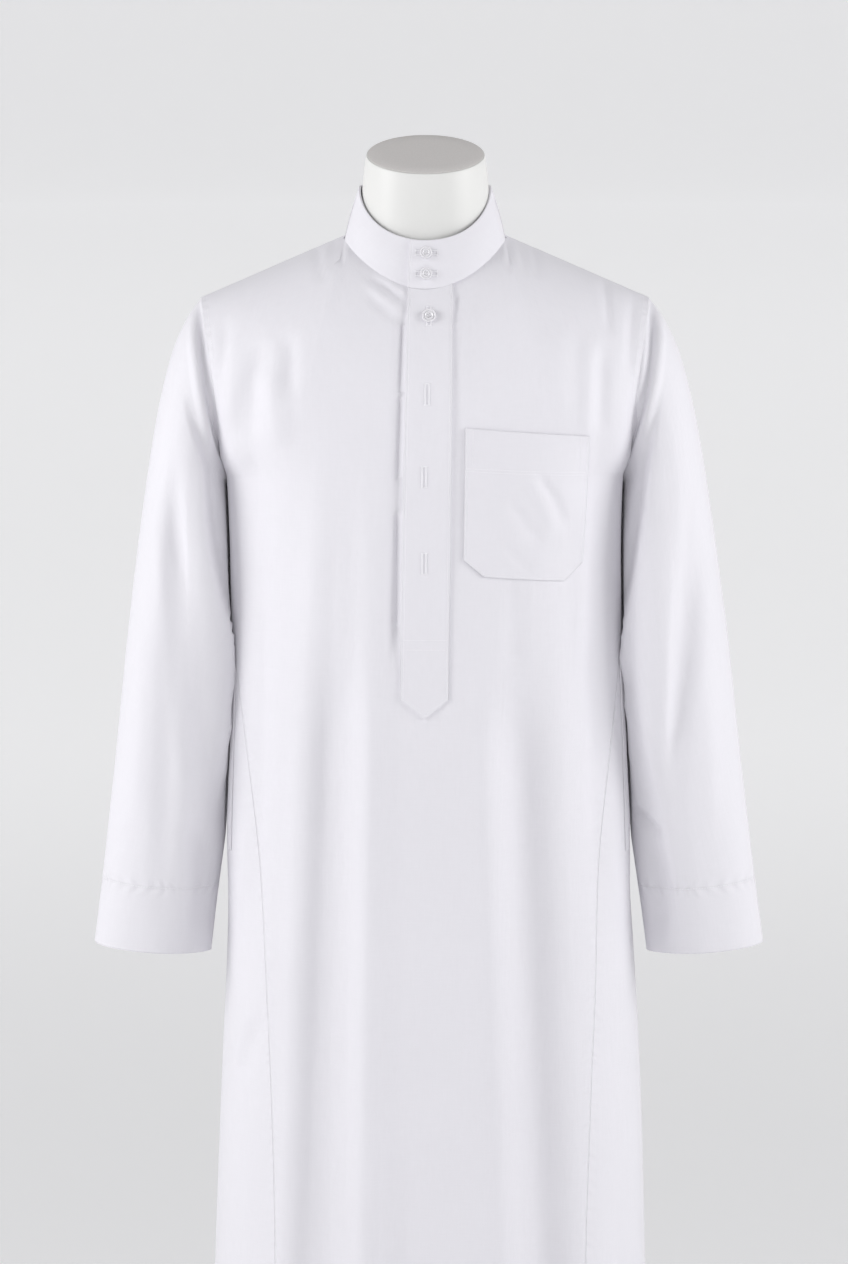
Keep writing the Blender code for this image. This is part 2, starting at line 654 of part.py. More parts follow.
# ---- turned pieces ----
def turned_faces(profile, segments):
    """Points and faces of a profile of (radius, height) turned about Z, from foot to top."""
    points, loops = [], []
    for radius, height in profile:
        start = len(points)
        if radius == 0.0:
            points.append((0.0, 0.0, height))
            loops.append([start] * segments)
            continue
        for k in range(segments):
            angle = 2 * math.pi * k / segments
            points.append((radius * math.cos(angle), radius * math.sin(angle), height))
        loops.append(list(range(start, start + segments)))
    faces = []
    for low, high in zip(loops, loops[1:]):
        for k in range(segments):
            corners = [low[k], low[(k + 1) % segments], high[(k + 1) % segments], high[k]]
            faces.append([c for i, c in enumerate(corners) if c not in corners[:i]])
    return points, faces


def add_turned(name, profile, segments, material):
    points, faces = turned_faces(profile, segments)
    return add_mesh(name, points, faces, material, smooth_angle=35.0)


def add_button(name, seat, normal, material):
    rim, thick = BUTTON_RADIUS, BUTTON_THICK
    profile = ((0.0, 0.0), (rim * 0.86, 0.0), (rim, thick * 0.28), (rim, thick * 0.72),
               (rim * 0.88, thick), (rim * 0.72, thick * 0.94), (rim * 0.55, thick * 0.66),
               (0.0, thick * 0.66))
    button = add_turned(name, profile, 18, material)
    button.rotation_euler = normal.to_track_quat("Z", "Y").to_euler()
    button.location = seat + normal * SEAM_GAP
    return button


# ---- dress form ----
def form_inset(point):
    """How far the form lies inside the cloth: seated on the shoulders, clear elsewhere."""
    behind = ease((abs(point.y + 0.004) - 0.022) / 0.045)
    near_neck = ease((0.104 - abs(point.x)) / 0.020)
    near_arm = ease((abs(point.x) - 0.180) / 0.020)
    clear = FORM_CLEAR + 0.009 * ease((1.300 - point.z) / 0.200)
    return CLOTH + blend(FORM_SEAT, clear, max(behind, near_neck, near_arm))


def form_rings(loop, count):
    """Rings of the neck from the neck opening's loop up to the cap."""
    rings = []
    foot_centre = Vector((0.0005, -0.010, 1.534))
    for k in range(count):
        share = k / (count - 1)
        radius = blend(NECK_FOOT_RADIUS, NECK_RADIUS, share ** 1.5)
        tilt = math.radians(blend(24.0, CAP_TILT, share))
        top = CAP_CENTRE - tilted(0.0, CAP_THICK + SEAM_GAP, CAP_TILT)
        centre = foot_centre.lerp(top, share)
        ring = []
        for point in loop:
            angle = math.atan2(point.x, -(point.y - COLLAR_TOP_SIDE[0]))
            ring.append(centre + Vector((radius * math.sin(angle),
                                         -radius * math.cos(angle) * math.cos(tilt),
                                         -radius * math.cos(angle) * math.sin(tilt))))
        rings.append(ring)
    return rings


def tilted(forward, up, degrees):
    """A step along and across the plane of the cap."""
    angle = math.radians(degrees)
    return Vector((0.0, -forward * math.cos(angle) - up * math.sin(angle),
                   -forward * math.sin(angle) + up * math.cos(angle)))


def add_dress_form(material):
    """Torso from the fold-free panels moved in, flat plates at the arms, and the neck."""
    front, back = panel_grid("front", plain=True), panel_grid("back", plain=True)
    gores = {side: gore_grid(side, front, back, plain=True) for side in (-1, 1)}
    normals = grid_normals([(front, 1), (back, -1), (gores[-1], -1), (gores[1], 1)])
    lowest = next(k for k, height in enumerate(BODY_HEIGHTS) if height > FORM_FOOT)
    vertices, faces, index = [], [], {}

    def vertex(point):
        key = point_key(point)
        if key not in index:
            index[key] = len(vertices)
            vertices.append(point - normals[key] * form_inset(point))
        return index[key]

    def add_rows(rows, facing):
        for low, high in zip(rows, rows[1:]):
            for j in range(len(low) - 1):
                cell = [vertex(p) for p in (low[j], low[j + 1], high[j + 1], high[j])]
                faces.extend(face if facing > 0 else face[::-1] for face in halves(cell))

    def add_fan(loop, centre):
        vertices.append(centre)
        middle = len(vertices) - 1
        for start, end in zip(loop, loop[1:] + loop[:1]):
            faces.append([start, end, middle])

    ridge = BACK_ANGLES.index(0.0) + len(BODY_HEIGHTS)
    add_rows(front[lowest:], 1)
    add_rows(back[lowest:ridge + 2], -1)
    for side in (-1, 1):
        add_rows(gores[side][lowest:], side)
        loop = [vertex(point) for point in armhole_loop(side, front, back, gores[side])]
        middle = sum((vertices[k] for k in loop), Vector()) / len(loop)
        middle.x = side * (UNDERARM_HALF - 0.002)
        add_fan(loop if side > 0 else loop[::-1], middle)
    foot = front[lowest] + gores[1][lowest][1:-1] + back[lowest][::-1] + gores[-1][lowest][-2:0:-1]
    rim = [vertex(point) for point in foot]
    under = len(vertices)
    for k in rim:
        vertices.append(Vector((vertices[k].x * 0.985, vertices[k].y * 0.985, FORM_FOOT)))
    low_rim = list(range(under, under + len(rim)))
    for k in range(len(rim)):
        after = (k + 1) % len(rim)
        faces.append([rim[after], rim[k], low_rim[k], low_rim[after]])
    add_fan(low_rim[::-1], Vector((0.0, 0.0, FORM_FOOT)))

    neck = [point for point in front[-1] if abs(point.x) <= NECK_HALF + 1e-6]
    neck += [point for point in back[-1] if abs(point.x) < NECK_HALF - 1e-6][::-1]
    last = [vertex(point) for point in neck]
    for ring in form_rings(neck, 6):
        start = len(vertices)
        vertices.extend(ring)
        fresh = list(range(start, start + len(ring)))
        for k in range(len(ring)):
            after = (k + 1) % len(ring)
            faces.append([last[k], last[after], fresh[after], fresh[k]])
        last = fresh
    add_fan(last, sum((vertices[k] for k in last), Vector()) / len(last))
    return add_mesh("dress_form", [tuple(v) for v in vertices], faces, material, smooth_angle=40.0)


def add_neck_cap(material):
    edge = 0.0008
    profile = ((0.0, -CAP_THICK), (NECK_RADIUS - edge, -CAP_THICK), (NECK_RADIUS, -CAP_THICK + edge),
               (NECK_RADIUS, -edge), (NECK_RADIUS - edge, 0.0), (0.0, 0.0))
    cap = add_turned("neck_cap", profile, 40, material)
    cap.location = CAP_CENTRE
    cap.rotation_euler = (math.radians(CAP_TILT), 0.0, 0.0)


def add_stand(material):
    base = ((0.0, 0.0), (BASE_RADIUS - 0.002, 0.0), (BASE_RADIUS, 0.002),
            (BASE_RADIUS, BASE_THICK - 0.003), (BASE_RADIUS - 0.003, BASE_THICK),
            (HUB_RADIUS + 0.014, BASE_THICK + 0.006), (HUB_RADIUS, BASE_THICK + 0.016),
            (HUB_RADIUS - 0.008, HUB_HEIGHT), (0.0, HUB_HEIGHT))
    add_turned("stand_base", base, 48, material)
    foot, top = HUB_HEIGHT + SEAM_GAP, FORM_FOOT - SEAM_GAP
    pole = ((0.0, foot), (POLE_RADIUS, foot), (POLE_RADIUS, top), (0.0, top))
    add_turned("stand_pole", pole, 24, material)


# ---- the whole thing ----
def build():
    for old in list(bpy.data.objects):
        bpy.data.objects.remove(old, do_unlink=True)
    cloth = make_material("cloth", CLOTH_WHITE, 0.75)
    pearl = make_material("pearl", PEARL, 0.25)
    form = make_material("form_lacquer", FORM_WHITE, 0.25)
    cap = make_material("cap_grey", CAP_GREY, 0.7)
    steel = make_material("steel", STEEL, 0.35, 1.0)

    front, back = panel_grid("front"), panel_grid("back")
    gores = {side: gore_grid(side, front, back) for side in (-1, 1)}
    normals = grid_normals([(front, 1), (back, -1), (gores[-1], -1), (gores[1], 1)])
    add_panel("front_panel", front, normals, ("first", "last", "top"), cloth, 1)
    add_panel("back_panel", back, normals, ("first", "last", "top"), cloth, -1)
    for side, word in ((-1, "right"), (1, "left")):
        add_gore("side_gore_" + word, gores[side], normals, side, cloth)
        loop = armhole_loop(side, front, back, gores[side])
        add_sleeve("sleeve_" + word, sleeve_grid(side, loop), side, cloth)
    add_pocket(front, normals, cloth)

    collar = collar_grid(front, back)
    add_collar(collar, cloth)
    strip = add_placket(front, normals, cloth)
    for name, share in COLLAR_BUTTONS.items():
        foot = point_at_x([row for row in reversed(collar[0][-4:])], BUTTON_X)
        top = point_at_x([row for row in reversed(collar[-1][-4:])], BUTTON_X)
        normal = Vector((1, 0, 0)).cross(top - foot).normalized()
        bow = normal * COLLAR_BOW
        add_button(name, foot.lerp(top, share) + bow, normal, pearl)
    low, high = next((low, high) for low, high in zip(strip, strip[1:])
                     if low[1].z <= PLACKET_BUTTON_HEIGHT <= high[1].z)
    seat = low[1].lerp(high[1], (PLACKET_BUTTON_HEIGHT - low[1].z) / (high[1].z - low[1].z))
    add_button("button_placket", seat, Vector((1, 0, 0)).cross(high[1] - low[1]).normalized(), pearl)

    add_dress_form(form)
    add_neck_cap(cap)
    add_stand(steel)


build()
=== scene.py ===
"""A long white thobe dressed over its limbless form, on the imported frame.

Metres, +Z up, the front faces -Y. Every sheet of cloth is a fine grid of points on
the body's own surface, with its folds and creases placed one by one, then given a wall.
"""

import math
import random
from collections import namedtuple

import bmesh
import bpy
import numpy as np
from mathutils import Matrix, Vector
from mathutils.bvhtree import BVHTree


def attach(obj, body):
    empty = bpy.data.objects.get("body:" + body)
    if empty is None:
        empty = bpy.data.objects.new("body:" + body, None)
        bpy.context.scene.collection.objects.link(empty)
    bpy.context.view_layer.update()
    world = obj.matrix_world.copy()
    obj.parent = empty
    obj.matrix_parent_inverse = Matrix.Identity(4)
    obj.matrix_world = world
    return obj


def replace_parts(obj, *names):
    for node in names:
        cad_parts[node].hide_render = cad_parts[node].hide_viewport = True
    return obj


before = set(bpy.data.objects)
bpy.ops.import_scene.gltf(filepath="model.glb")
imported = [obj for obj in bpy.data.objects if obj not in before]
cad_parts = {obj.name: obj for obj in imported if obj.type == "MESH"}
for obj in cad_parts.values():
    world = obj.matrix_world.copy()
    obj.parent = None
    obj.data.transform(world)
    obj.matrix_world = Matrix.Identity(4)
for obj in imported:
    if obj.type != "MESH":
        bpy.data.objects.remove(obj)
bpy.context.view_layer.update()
bpy.ops.object.select_all(action="DESELECT")
random.seed(7)
SIDES = ((-1, "right"), (1, "left"))    # as the wearer has them

# ---- the body's surface, as the solids have it ----
HEM_HEIGHT = 0.070
UNDERARM_HEIGHT = 1.305
UNDERARM_HALF = 0.184
GORE_TOP_HALF = 0.007
SHOULDER_TIP = (0.2145, 1.4745)
NECK_HALF = 0.0770
TINY = 1e-6                 # margin that tells a point at the neck's side from one inside it
NECK_RIDGE_FRONT = 1.534
NECK_RIDGE_BACK = 1.558
NECK_FRONT_REACH = 0.0700
NECK_BACK_REACH = 0.0720
SHOULDER_DROP = 0.160
SEAM_FORWARD = 7.0
ROUNDNESS = 2.4

PLACKET_TOP = (-0.0165, 0.0263)
PLACKET_FOOT = (-0.0235, 0.0225)
PLACKET_FOOT_HEIGHT = 1.105
PLACKET_POINT_HEIGHT = 1.086
PLACKET_TOP_HEIGHT = 1.487
PLACKET_HEAD_GAP = 0.0012   # from its top to the collar's seam

COLLAR_TOP_HALF = 0.0630
COLLAR_TOP_FRONT = (-0.0750, 1.5325)
COLLAR_TOP_SIDE = (-0.0165, 1.5810)
COLLAR_TOP_BACK = (0.0485, 1.5830)
COLLAR_UNDER_END = 0.0175
COLLAR_OVER_END = -0.0185
COLLAR_LAP_START = 0.030
COLLAR_BOW = 0.0012
LAP_GAP = 0.0004            # between the collar's two ends

SLEEVE_LEAN = 0.0038

Girth = namedtuple("Girth", "height half_width front back shift")
BODY_ROWS = [Girth(*row) for row in (
    (0.070, 0.2270, 0.170, 0.168, 0.0050),
    (0.300, 0.2200, 0.163, 0.161, 0.0050),
    (0.520, 0.2130, 0.154, 0.153, 0.0050),
    (0.684, 0.2070, 0.147, 0.147, 0.0058),
    (0.835, 0.1990, 0.141, 0.141, 0.0055),
    (0.955, 0.1890, 0.137, 0.135, 0.0035),
    (1.083, 0.1820, 0.134, 0.125, 0.0028),
    (1.200, 0.1800, 0.132, 0.119, 0.0010),
    (1.305, 0.1840, 0.130, 0.121, 0.0000),
    (1.330, 0.1950, 0.129, 0.122, 0.0000),
    (1.360, 0.2103, 0.127, 0.123, 0.0000),
    (1.400, 0.2358, 0.124, 0.123, 0.0000),
    (1.440, 0.2525, 0.121, 0.121, 0.0000),
    (1.560, 0.2525, 0.119, 0.117, 0.0000),
)]

GoreSeams = namedtuple("GoreSeams", "height front_seam back_seam")
GORE_ROWS = [GoreSeams(*row) for row in (
    (0.070, 0.1480, 0.1520),
    (0.562, 0.1490, 0.1540),
    (0.720, 0.1530, 0.1580),
    (0.815, 0.1570, 0.1610),
    (0.937, 0.1610, 0.1650),
    (1.050, 0.1675, 0.1700),
    (1.200, 0.1765, 0.1770),
)]

Fold = namedtuple("Fold", "face x_top x_foot top foot half_width rise")
FOLD_ROWS = [Fold(*row) for row in (
    ("front", -0.050, -0.053, 1.200, 0.000, 0.030, 0.0030),
    ("front", -0.084, -0.114, 1.200, 0.000, 0.040, -0.0105),
    ("front", 0.056, 0.070, 1.200, 0.000, 0.032, 0.0032),
    ("front", 0.084, 0.138, 1.180, 0.000, 0.042, -0.0160),
    ("front", -0.098, -0.112, 1.370, 1.060, 0.023, 0.0034),
    ("front", -0.048, -0.051, 1.380, 1.060, 0.022, 0.0034),
    ("back", -0.112, -0.140, 1.240, 0.000, 0.030, 0.0070),
    ("back", -0.060, -0.072, 1.050, 0.000, 0.028, -0.0080),
    ("back", -0.008, 0.004, 1.300, 0.000, 0.034, 0.0060),
    ("back", 0.056, 0.070, 1.120, 0.000, 0.026, -0.0085),
    ("back", 0.104, 0.136, 1.260, 0.000, 0.032, 0.0070),
)]
FOLD_FADE = 0.16
SLEEVE_FADE = 0.15

SleeveRing = namedtuple("SleeveRing", "outer_x outer_z inner_x inner_z half_depth centre_y")
SLEEVE_ROWS = [SleeveRing(*row) for row in (
    (0.2290, 1.4540, 0.1866, 1.290, 0.069, -0.002),
    (0.2430, 1.4230, 0.1874, 1.268, 0.069, -0.006),
    (0.2545, 1.3800, 0.1868, 1.240, 0.068, -0.012),
    (0.2640, 1.3300, 0.1856, 1.205, 0.066, -0.018),
    (0.2732, 1.2700, 0.1840, 1.165, 0.064, -0.024),
    (0.2820, 1.2050, 0.1830, 1.120, 0.061, -0.029),
    (0.2905, 1.1350, 0.1838, 1.070, 0.058, -0.032),
    (0.2990, 1.0600, 0.1890, 1.010, 0.054, -0.033),
    (0.3078, 0.9850, 0.1975, 0.948, 0.049, -0.033),
    (0.3165, 0.9150, 0.2050, 0.895, 0.044, -0.032),
    (0.3250, 0.8520, 0.2117, 0.843, 0.040, -0.031),
)]

SleeveFold = namedtuple("SleeveFold", "side turn_top turn_foot top foot half_turn rise")
SLEEVE_FOLD_ROWS = [SleeveFold(*row) for row in (
    (-1, 128.0, 158.0, 0.10, 0.62, 20.0, -0.0060),
    (-1, 66.0, 98.0, 0.25, 0.98, 20.0, -0.0040),
    (-1, 250.0, 228.0, 0.20, 0.85, 22.0, -0.0050),
    (1, 120.0, 160.0, 0.06, 0.55, 20.0, -0.0065),
    (1, 92.0, 118.0, 0.18, 0.92, 18.0, 0.0045),
    (1, 246.0, 262.0, 0.22, 0.90, 22.0, -0.0050),
)]

# ---- how finely each sheet is drawn ----
FINE = 5                    # fine columns to one column of the solid
SIDE_CELLS = 11 * FINE
NECK_CELLS = 5 * FINE
STRIP_CELLS = 8             # columns under the placket
SKIRT_ROWS = 220
BUST_ROWS = 12              # rows between the underarm and where the cloth starts to round over
SHOULDER_ROWS = 56
GORE_CELLS = 26
SLEEVE_ROWS_FINE = 130
CLOTH_WALL = 0.0009
COLLAR_WALL = 0.0019
STRIP_WALL = 0.0014
SHEET_EDGE, TURNED_EDGE, NECK_EDGE = (math.radians(turn) for turn in (55, 32, 40))    # sharp from there
PLACKET_GAP, POCKET_GAP = 0.0003, 0.0008    # from the front to what is laid on it


# ---- small helpers ----
def at_height(rows, column, height):
    """Value of one named column at a height, on a smooth curve through the rows."""
    if height <= rows[0].height:
        return getattr(rows[0], column)
    if height >= rows[-1].height:
        return getattr(rows[-1], column)
    last = next(i for i, row in enumerate(rows) if row.height >= height)
    near = (rows[max(last - 2, 0)], rows[last - 1], rows[last], rows[min(last + 1, len(rows) - 1)])
    before, low, high, after = (getattr(row, column) for row in near)
    step = near[2].height - near[1].height
    share = (height - near[1].height) / step
    slope_low = (high - before) / (near[2].height - near[0].height) * step
    slope_high = (after - low) / (near[3].height - near[1].height) * step
    cubed, squared = share ** 3, share ** 2
    return ((2 * cubed - 3 * squared + 1) * low + (cubed - 2 * squared + share) * slope_low
            + (3 * squared - 2 * cubed) * high + (cubed - squared) * slope_high)


def blend(start, end, share):
    return start + (end - start) * share


def ease(share):
    share = min(max(share, 0.0), 1.0)
    return share * share * (3 - 2 * share)


def bump(distance):
    """1 at the middle of a fold, 0 from its edge on."""
    return 0.5 + 0.5 * math.cos(math.pi * distance) if abs(distance) < 1 else 0.0


# ---- the surface of the body ----
def girth(name, height):
    return at_height(BODY_ROWS, name, height)


def fold_rise(face, x, height):
    """How far the long folds of the front or the back stand out at one place."""
    total = 0.0
    for fold in FOLD_ROWS:
        if fold.face == face and height < fold.top:
            middle = blend(fold.x_foot, fold.x_top, (height - fold.foot) / (fold.top - fold.foot))
            fade = ease((fold.top - height) / FOLD_FADE)
            total += fold.rise * bump((x - middle) / fold.half_width) * fade
    return total


def body_y(x, height, face, share=1.0):
    """Depth of the cloth at x; share is below 1 where it rounds over into the shoulder."""
    out = min(abs(x - girth("shift", height)) / girth("half_width", height), 1.0)
    depth = (1.0 - out ** ROUNDNESS) ** (1.0 / ROUNDNESS) * share
    reach = (girth(face, height) + fold_rise(face, x, height)) * depth
    return -reach if face == "front" else reach


def ring_x(turn, height):
    lean = math.sin(math.radians(turn))
    share = math.copysign(abs(lean) ** (2.0 / ROUNDNESS), lean)
    return girth("shift", height) + girth("half_width", height) * share


def ring_turn(x, height):
    out = (x - girth("shift", height)) / girth("half_width", height)
    out = min(max(out, -1.0), 1.0)
    return math.degrees(math.asin(math.copysign(abs(out) ** (ROUNDNESS / 2.0), out)))


def seam_x(face, side, height):
    """x of a side gore's front or back seam."""
    last_height = GORE_ROWS[-1].height
    column = face + "_seam"
    if height <= last_height:
        return side * at_height(GORE_ROWS, column, height) + girth("shift", height)
    depth = girth(face, UNDERARM_HEIGHT)
    top = UNDERARM_HALF * (1.0 - (GORE_TOP_HALF / depth) ** ROUNDNESS) ** (1.0 / ROUNDNESS)
    share = (height - last_height) / (UNDERARM_HEIGHT - last_height)
    return side * blend(getattr(GORE_ROWS[-1], column), top, share) + girth("shift", height)


def placket_x(side, height):
    share = (height - PLACKET_FOOT_HEIGHT) / (PLACKET_TOP_HEIGHT - PLACKET_FOOT_HEIGHT)
    edge = 0 if side < 0 else 1
    return blend(PLACKET_FOOT[edge], PLACKET_TOP[edge], share)


def shoulder_ridge(x):
    tip_x, tip_z = SHOULDER_TIP
    return blend(NECK_RIDGE_FRONT, tip_z, (abs(x) - NECK_HALF) / (tip_x - NECK_HALF))


def joined(halves):
    """x from -X to +X: the right half, the strip under the placket, the left half."""
    low, high = halves[0][0], halves[1][0]
    strip = [blend(low, high, k / STRIP_CELLS) for k in range(1, STRIP_CELLS)]
    return halves[0][::-1] + strip + halves[1]


def row_xs(face, height):
    """x of every column at one height below the underarm."""
    halves = []
    for side in (-1, 1):
        inner, outer = placket_x(side, height), seam_x(face, side, height)
        start, end = ring_turn(inner, height), ring_turn(outer, height)
        half = [ring_x(blend(start, end, k / SIDE_CELLS), height) for k in range(SIDE_CELLS + 1)]
        half[0], half[-1] = inner, outer
        halves.append(half)
    return joined(halves)


def top_columns(face):
    """For every column: its x at the top, the ridge above it and the angle that it ends at."""
    halves = []
    for side in (-1, 1):
        inner = placket_x(side, PLACKET_TOP_HEIGHT)
        start = math.degrees(math.asin(abs(inner) / NECK_HALF))
        half = [side * NECK_HALF * math.sin(math.radians(blend(start, 90.0, k / NECK_CELLS)))
                for k in range(NECK_CELLS + 1)]
        beyond = SIDE_CELLS - NECK_CELLS
        half += [side * blend(NECK_HALF, SHOULDER_TIP[0], k / beyond) for k in range(1, beyond + 1)]
        halves.append(half)
    return [top_column(face, x) for x in joined(halves)]


def top_column(face, x):
    if abs(x) >= NECK_HALF - TINY:
        return x, shoulder_ridge(x), SEAM_FORWARD if face == "front" else -SEAM_FORWARD
    return x, neck_ridge(face, x), neck_angle(face, x)


def neck_ridge(face, x):
    if face == "front":
        return NECK_RIDGE_FRONT
    return blend(NECK_RIDGE_BACK, NECK_RIDGE_FRONT, (abs(x) / NECK_HALF) ** 2)


def neck_angle(face, x):
    """Angle on the rounded shoulder at which the surface meets the neck opening."""
    across = math.sqrt(max(1.0 - (x / NECK_HALF) ** 2, 0.0))
    seam_y = body_y(NECK_HALF, NECK_RIDGE_FRONT, "front", math.sin(math.radians(SEAM_FORWARD)))
    reach = -NECK_FRONT_REACH if face == "front" else NECK_BACK_REACH
    full = body_y(x, neck_ridge(face, x), face)
    return math.degrees(math.asin((seam_y + reach * across) / full))


def upper_point(face, column, chest_x, angle, lower=0.0):
    """Point above the underarm: a column runs straight in the front view and rounds over."""
    top_x, ridge, end = column
    height = ridge - SHOULDER_DROP * (1.0 - math.cos(math.radians(angle)))
    height = blend(height, UNDERARM_HEIGHT, lower)
    end_height = ridge - SHOULDER_DROP * (1.0 - math.cos(math.radians(max(end, 0.0))))
    share = (height - UNDERARM_HEIGHT) / (end_height - UNDERARM_HEIGHT)
    x = blend(chest_x, top_x, share) if angle > max(end, 0.0) else top_x
    here = face if angle >= 0.0 else "front"
    return x, body_y(x, height, here, abs(math.sin(math.radians(angle)))), height


def body_heights():
    step = (UNDERARM_HEIGHT - HEM_HEIGHT) / SKIRT_ROWS
    return [HEM_HEIGHT + step * k for k in range(SKIRT_ROWS + 1)]


def panel_grid(face):
    """Rows of points from the hem to the shoulder seam and neck, columns from -X to +X."""
    rows = [[(x, body_y(x, height, face), height) for x in row_xs(face, height)]
            for height in body_heights()]
    last = SEAM_FORWARD if face == "front" else -SEAM_FORWARD
    columns = top_columns(face)
    chest = [point[0] for point in rows[-1]]
    for k in range(1, BUST_ROWS):
        rows.append([upper_point(face, column, chest_x, 90.0, 1.0 - k / BUST_ROWS)
                     for chest_x, column in zip(chest, columns)])
    for k in range(SHOULDER_ROWS + 1):
        share = k / SHOULDER_ROWS
        row = []
        for chest_x, column in zip(chest, columns):
            end = column[2] if abs(column[0]) < NECK_HALF - TINY else last
            row.append(upper_point(face, column, chest_x, blend(90.0, end, share)))
        rows.append(row)
    return np.array(rows)


def gore_grid(side, front, back):
    """Rows from the hem to the underarm, columns from the front seam round to the back seam."""
    edge = 0 if side < 0 else -1
    rows = []
    for k, height in enumerate(body_heights()):
        start = ring_turn(front[k][edge][0], height)
        end = side * 180.0 - ring_turn(back[k][edge][0], height)
        row = [tuple(front[k][edge])]
        for j in range(1, GORE_CELLS):
            turn = blend(start, end, j / GORE_CELLS)
            x = ring_x(turn, height)
            face = "front" if abs(turn) <= 90.0 else "back"
            row.append((x, body_y(x, height, face), height))
        rows.append(row + [tuple(back[k][edge])])
    return np.array(rows)


# ---- sleeves ----
def armhole_loop(side, front, back, gore):
    """Armhole points from the shoulder seam down the front, under the arm and up the back."""
    edge = 0 if side < 0 else -1
    down = [front[k][edge] for k in range(len(front) - 1, SKIRT_ROWS - 1, -1)]
    up = [back[k][edge] for k in range(SKIRT_ROWS, len(back) - 1)]
    return np.array(down + list(gore[-1][1:-1]) + up)


def sleeve_fold(side, turn, share):
    total = 0.0
    for fold in SLEEVE_FOLD_ROWS:
        if fold.side == side and fold.top < share < fold.foot:
            middle = blend(fold.turn_top, fold.turn_foot, (share - fold.top) / (fold.foot - fold.top))
            fade = ease((share - fold.top) / SLEEVE_FADE) * ease((fold.foot - share) / SLEEVE_FADE)
            total += fold.rise * bump((turn - middle) / fold.half_turn) * fade
    return total


def line_run(points):
    """Length along a line to each of its points."""
    return np.concatenate([[0.0], np.cumsum(np.linalg.norm(np.diff(points, axis=0), axis=1))])


def at_run(distance, run, values):
    """What a line has at one distance along it: its point, or its direction out."""
    return np.array([np.interp(distance, run, values[:, axis]) for axis in range(3)])


def spline(points, count):
    """A smooth line of count points through a few, in equal steps from point to point."""
    points = np.asarray(points, float)
    padded = np.concatenate([2 * points[:1] - points[1:2], points, 2 * points[-1:] - points[-2:-1]])
    drawn = []
    for place in np.linspace(0, len(points) - 1, count):
        k = min(int(place), len(points) - 2)
        t = place - k
        before, low, high, after = padded[k:k + 4]
        drawn.append(0.5 * (2 * low + (high - before) * t
                            + (2 * before - 5 * low + 4 * high - after) * t ** 2
                            + (3 * low - before - 3 * high + after) * t ** 3))
    return np.array(drawn)


def sleeve_grid(side, loop):
    """Rings of points from the armhole to the cuff."""
    tip = loop[0]
    under = loop[np.argmin(loop[:, 2])]
    centre, up = (tip + under) / 2, (tip - under) / 2
    out = loop - centre
    along = out @ up / (up @ up)
    starts = np.degrees(np.arctan2(-out[:, 1] / SLEEVE_ROWS[0].half_depth, along)) % 360.0
    starts[0] = 0.0
    steps = np.linalg.norm(np.roll(loop, -1, axis=0) - loop, axis=1)
    even = 360.0 * np.concatenate([[0.0], np.cumsum(steps)[:-1]]) / steps.sum()
    rings = [loop]
    for k, row in enumerate(SLEEVE_ROWS):
        share = (k + 1) / len(SLEEVE_ROWS)
        lean = SLEEVE_LEAN * share
        outer = np.array((side * row.outer_x + lean, row.centre_y, row.outer_z))
        inner = np.array((side * row.inner_x + lean, row.centre_y, row.inner_z))
        middle, half = (outer + inner) / 2, (outer - inner) / 2
        ring = []
        for start, level in zip(starts, even):
            turn = blend(start, level, ease(share * 2))
            grow = 1.0 + sleeve_fold(side, turn, share) / np.linalg.norm(half)
            angle = math.radians(turn)
            ring.append(middle + (half * math.cos(angle)
                                  - np.array((0, row.half_depth, 0)) * math.sin(angle)) * grow)
        rings.append(np.array(ring))
    return spline(rings, SLEEVE_ROWS_FINE + 1)


# ---- collar band ----
def collar_stations(front, back):
    """Neck points from the hidden end round the back to the upper end, with how far each laps."""
    neck_front = [point for point in front[-1] if abs(point[0]) <= NECK_HALF + TINY]
    neck_back = [point for point in back[-1] if abs(point[0]) < NECK_HALF - TINY]
    neck_front.sort(key=lambda point: point[0])
    neck_back.sort(key=lambda point: point[0])
    lap_out = COLLAR_WALL + LAP_GAP
    stations = [(point, True, 0.0) for point in reversed(neck_front) if point[0] < COLLAR_UNDER_END]
    stations += [(point, False, 0.0) for point in neck_back]
    for point in reversed(neck_front):
        if point[0] > COLLAR_OVER_END:
            lap = ease((NECK_HALF - point[0]) / (NECK_HALF - COLLAR_LAP_START))
            stations.append((point, True, lap * lap_out))
    return stations


def collar_grid(front, back, rows=26):
    """Rows from the neck seam up, columns from the hidden end round the back to the upper end."""
    grid = []
    for k in range(rows + 1):
        share = k / rows
        row = []
        for base, front_side, lap in collar_stations(front, back):
            across = min(max(base[0] / NECK_HALF, -1.0), 1.0)
            depth = math.sqrt(1.0 - across ** 2)
            end = COLLAR_TOP_FRONT if front_side else COLLAR_TOP_BACK
            top = np.array((COLLAR_TOP_HALF * across, blend(COLLAR_TOP_SIDE[0], end[0], depth),
                            blend(COLLAR_TOP_SIDE[1], end[1], depth)))
            out = np.array((base[0], base[1] - COLLAR_TOP_SIDE[0], 0.0))
            out /= np.linalg.norm(out)
            bow = COLLAR_BOW * math.sin(math.pi * share)
            row.append(base + (top - base) * share + out * (lap + bow))
        grid.append(row)
    return np.array(grid)


# ---- creases, each a line in the front view with its width and rise ----
Crease = namedtuple("Crease", "face path width rise")
CREASE_END = 0.3            # share of a crease's length over which it runs out at each end
CREASE_TURN, CREASE_SIDE = 2.5, 0.25    # how fast a crease fades where the cloth turns away


def on_face(face, rows):
    """Creases of one face, from rows of (x, height) points, width and rise in millimetres."""
    return [Crease(face, np.array(path) / 1000, width / 1000, rise / 1000) for path, width, rise in rows]


def eased(shares):
    shares = np.clip(shares, 0.0, 1.0)
    return shares * shares * (3 - 2 * shares)


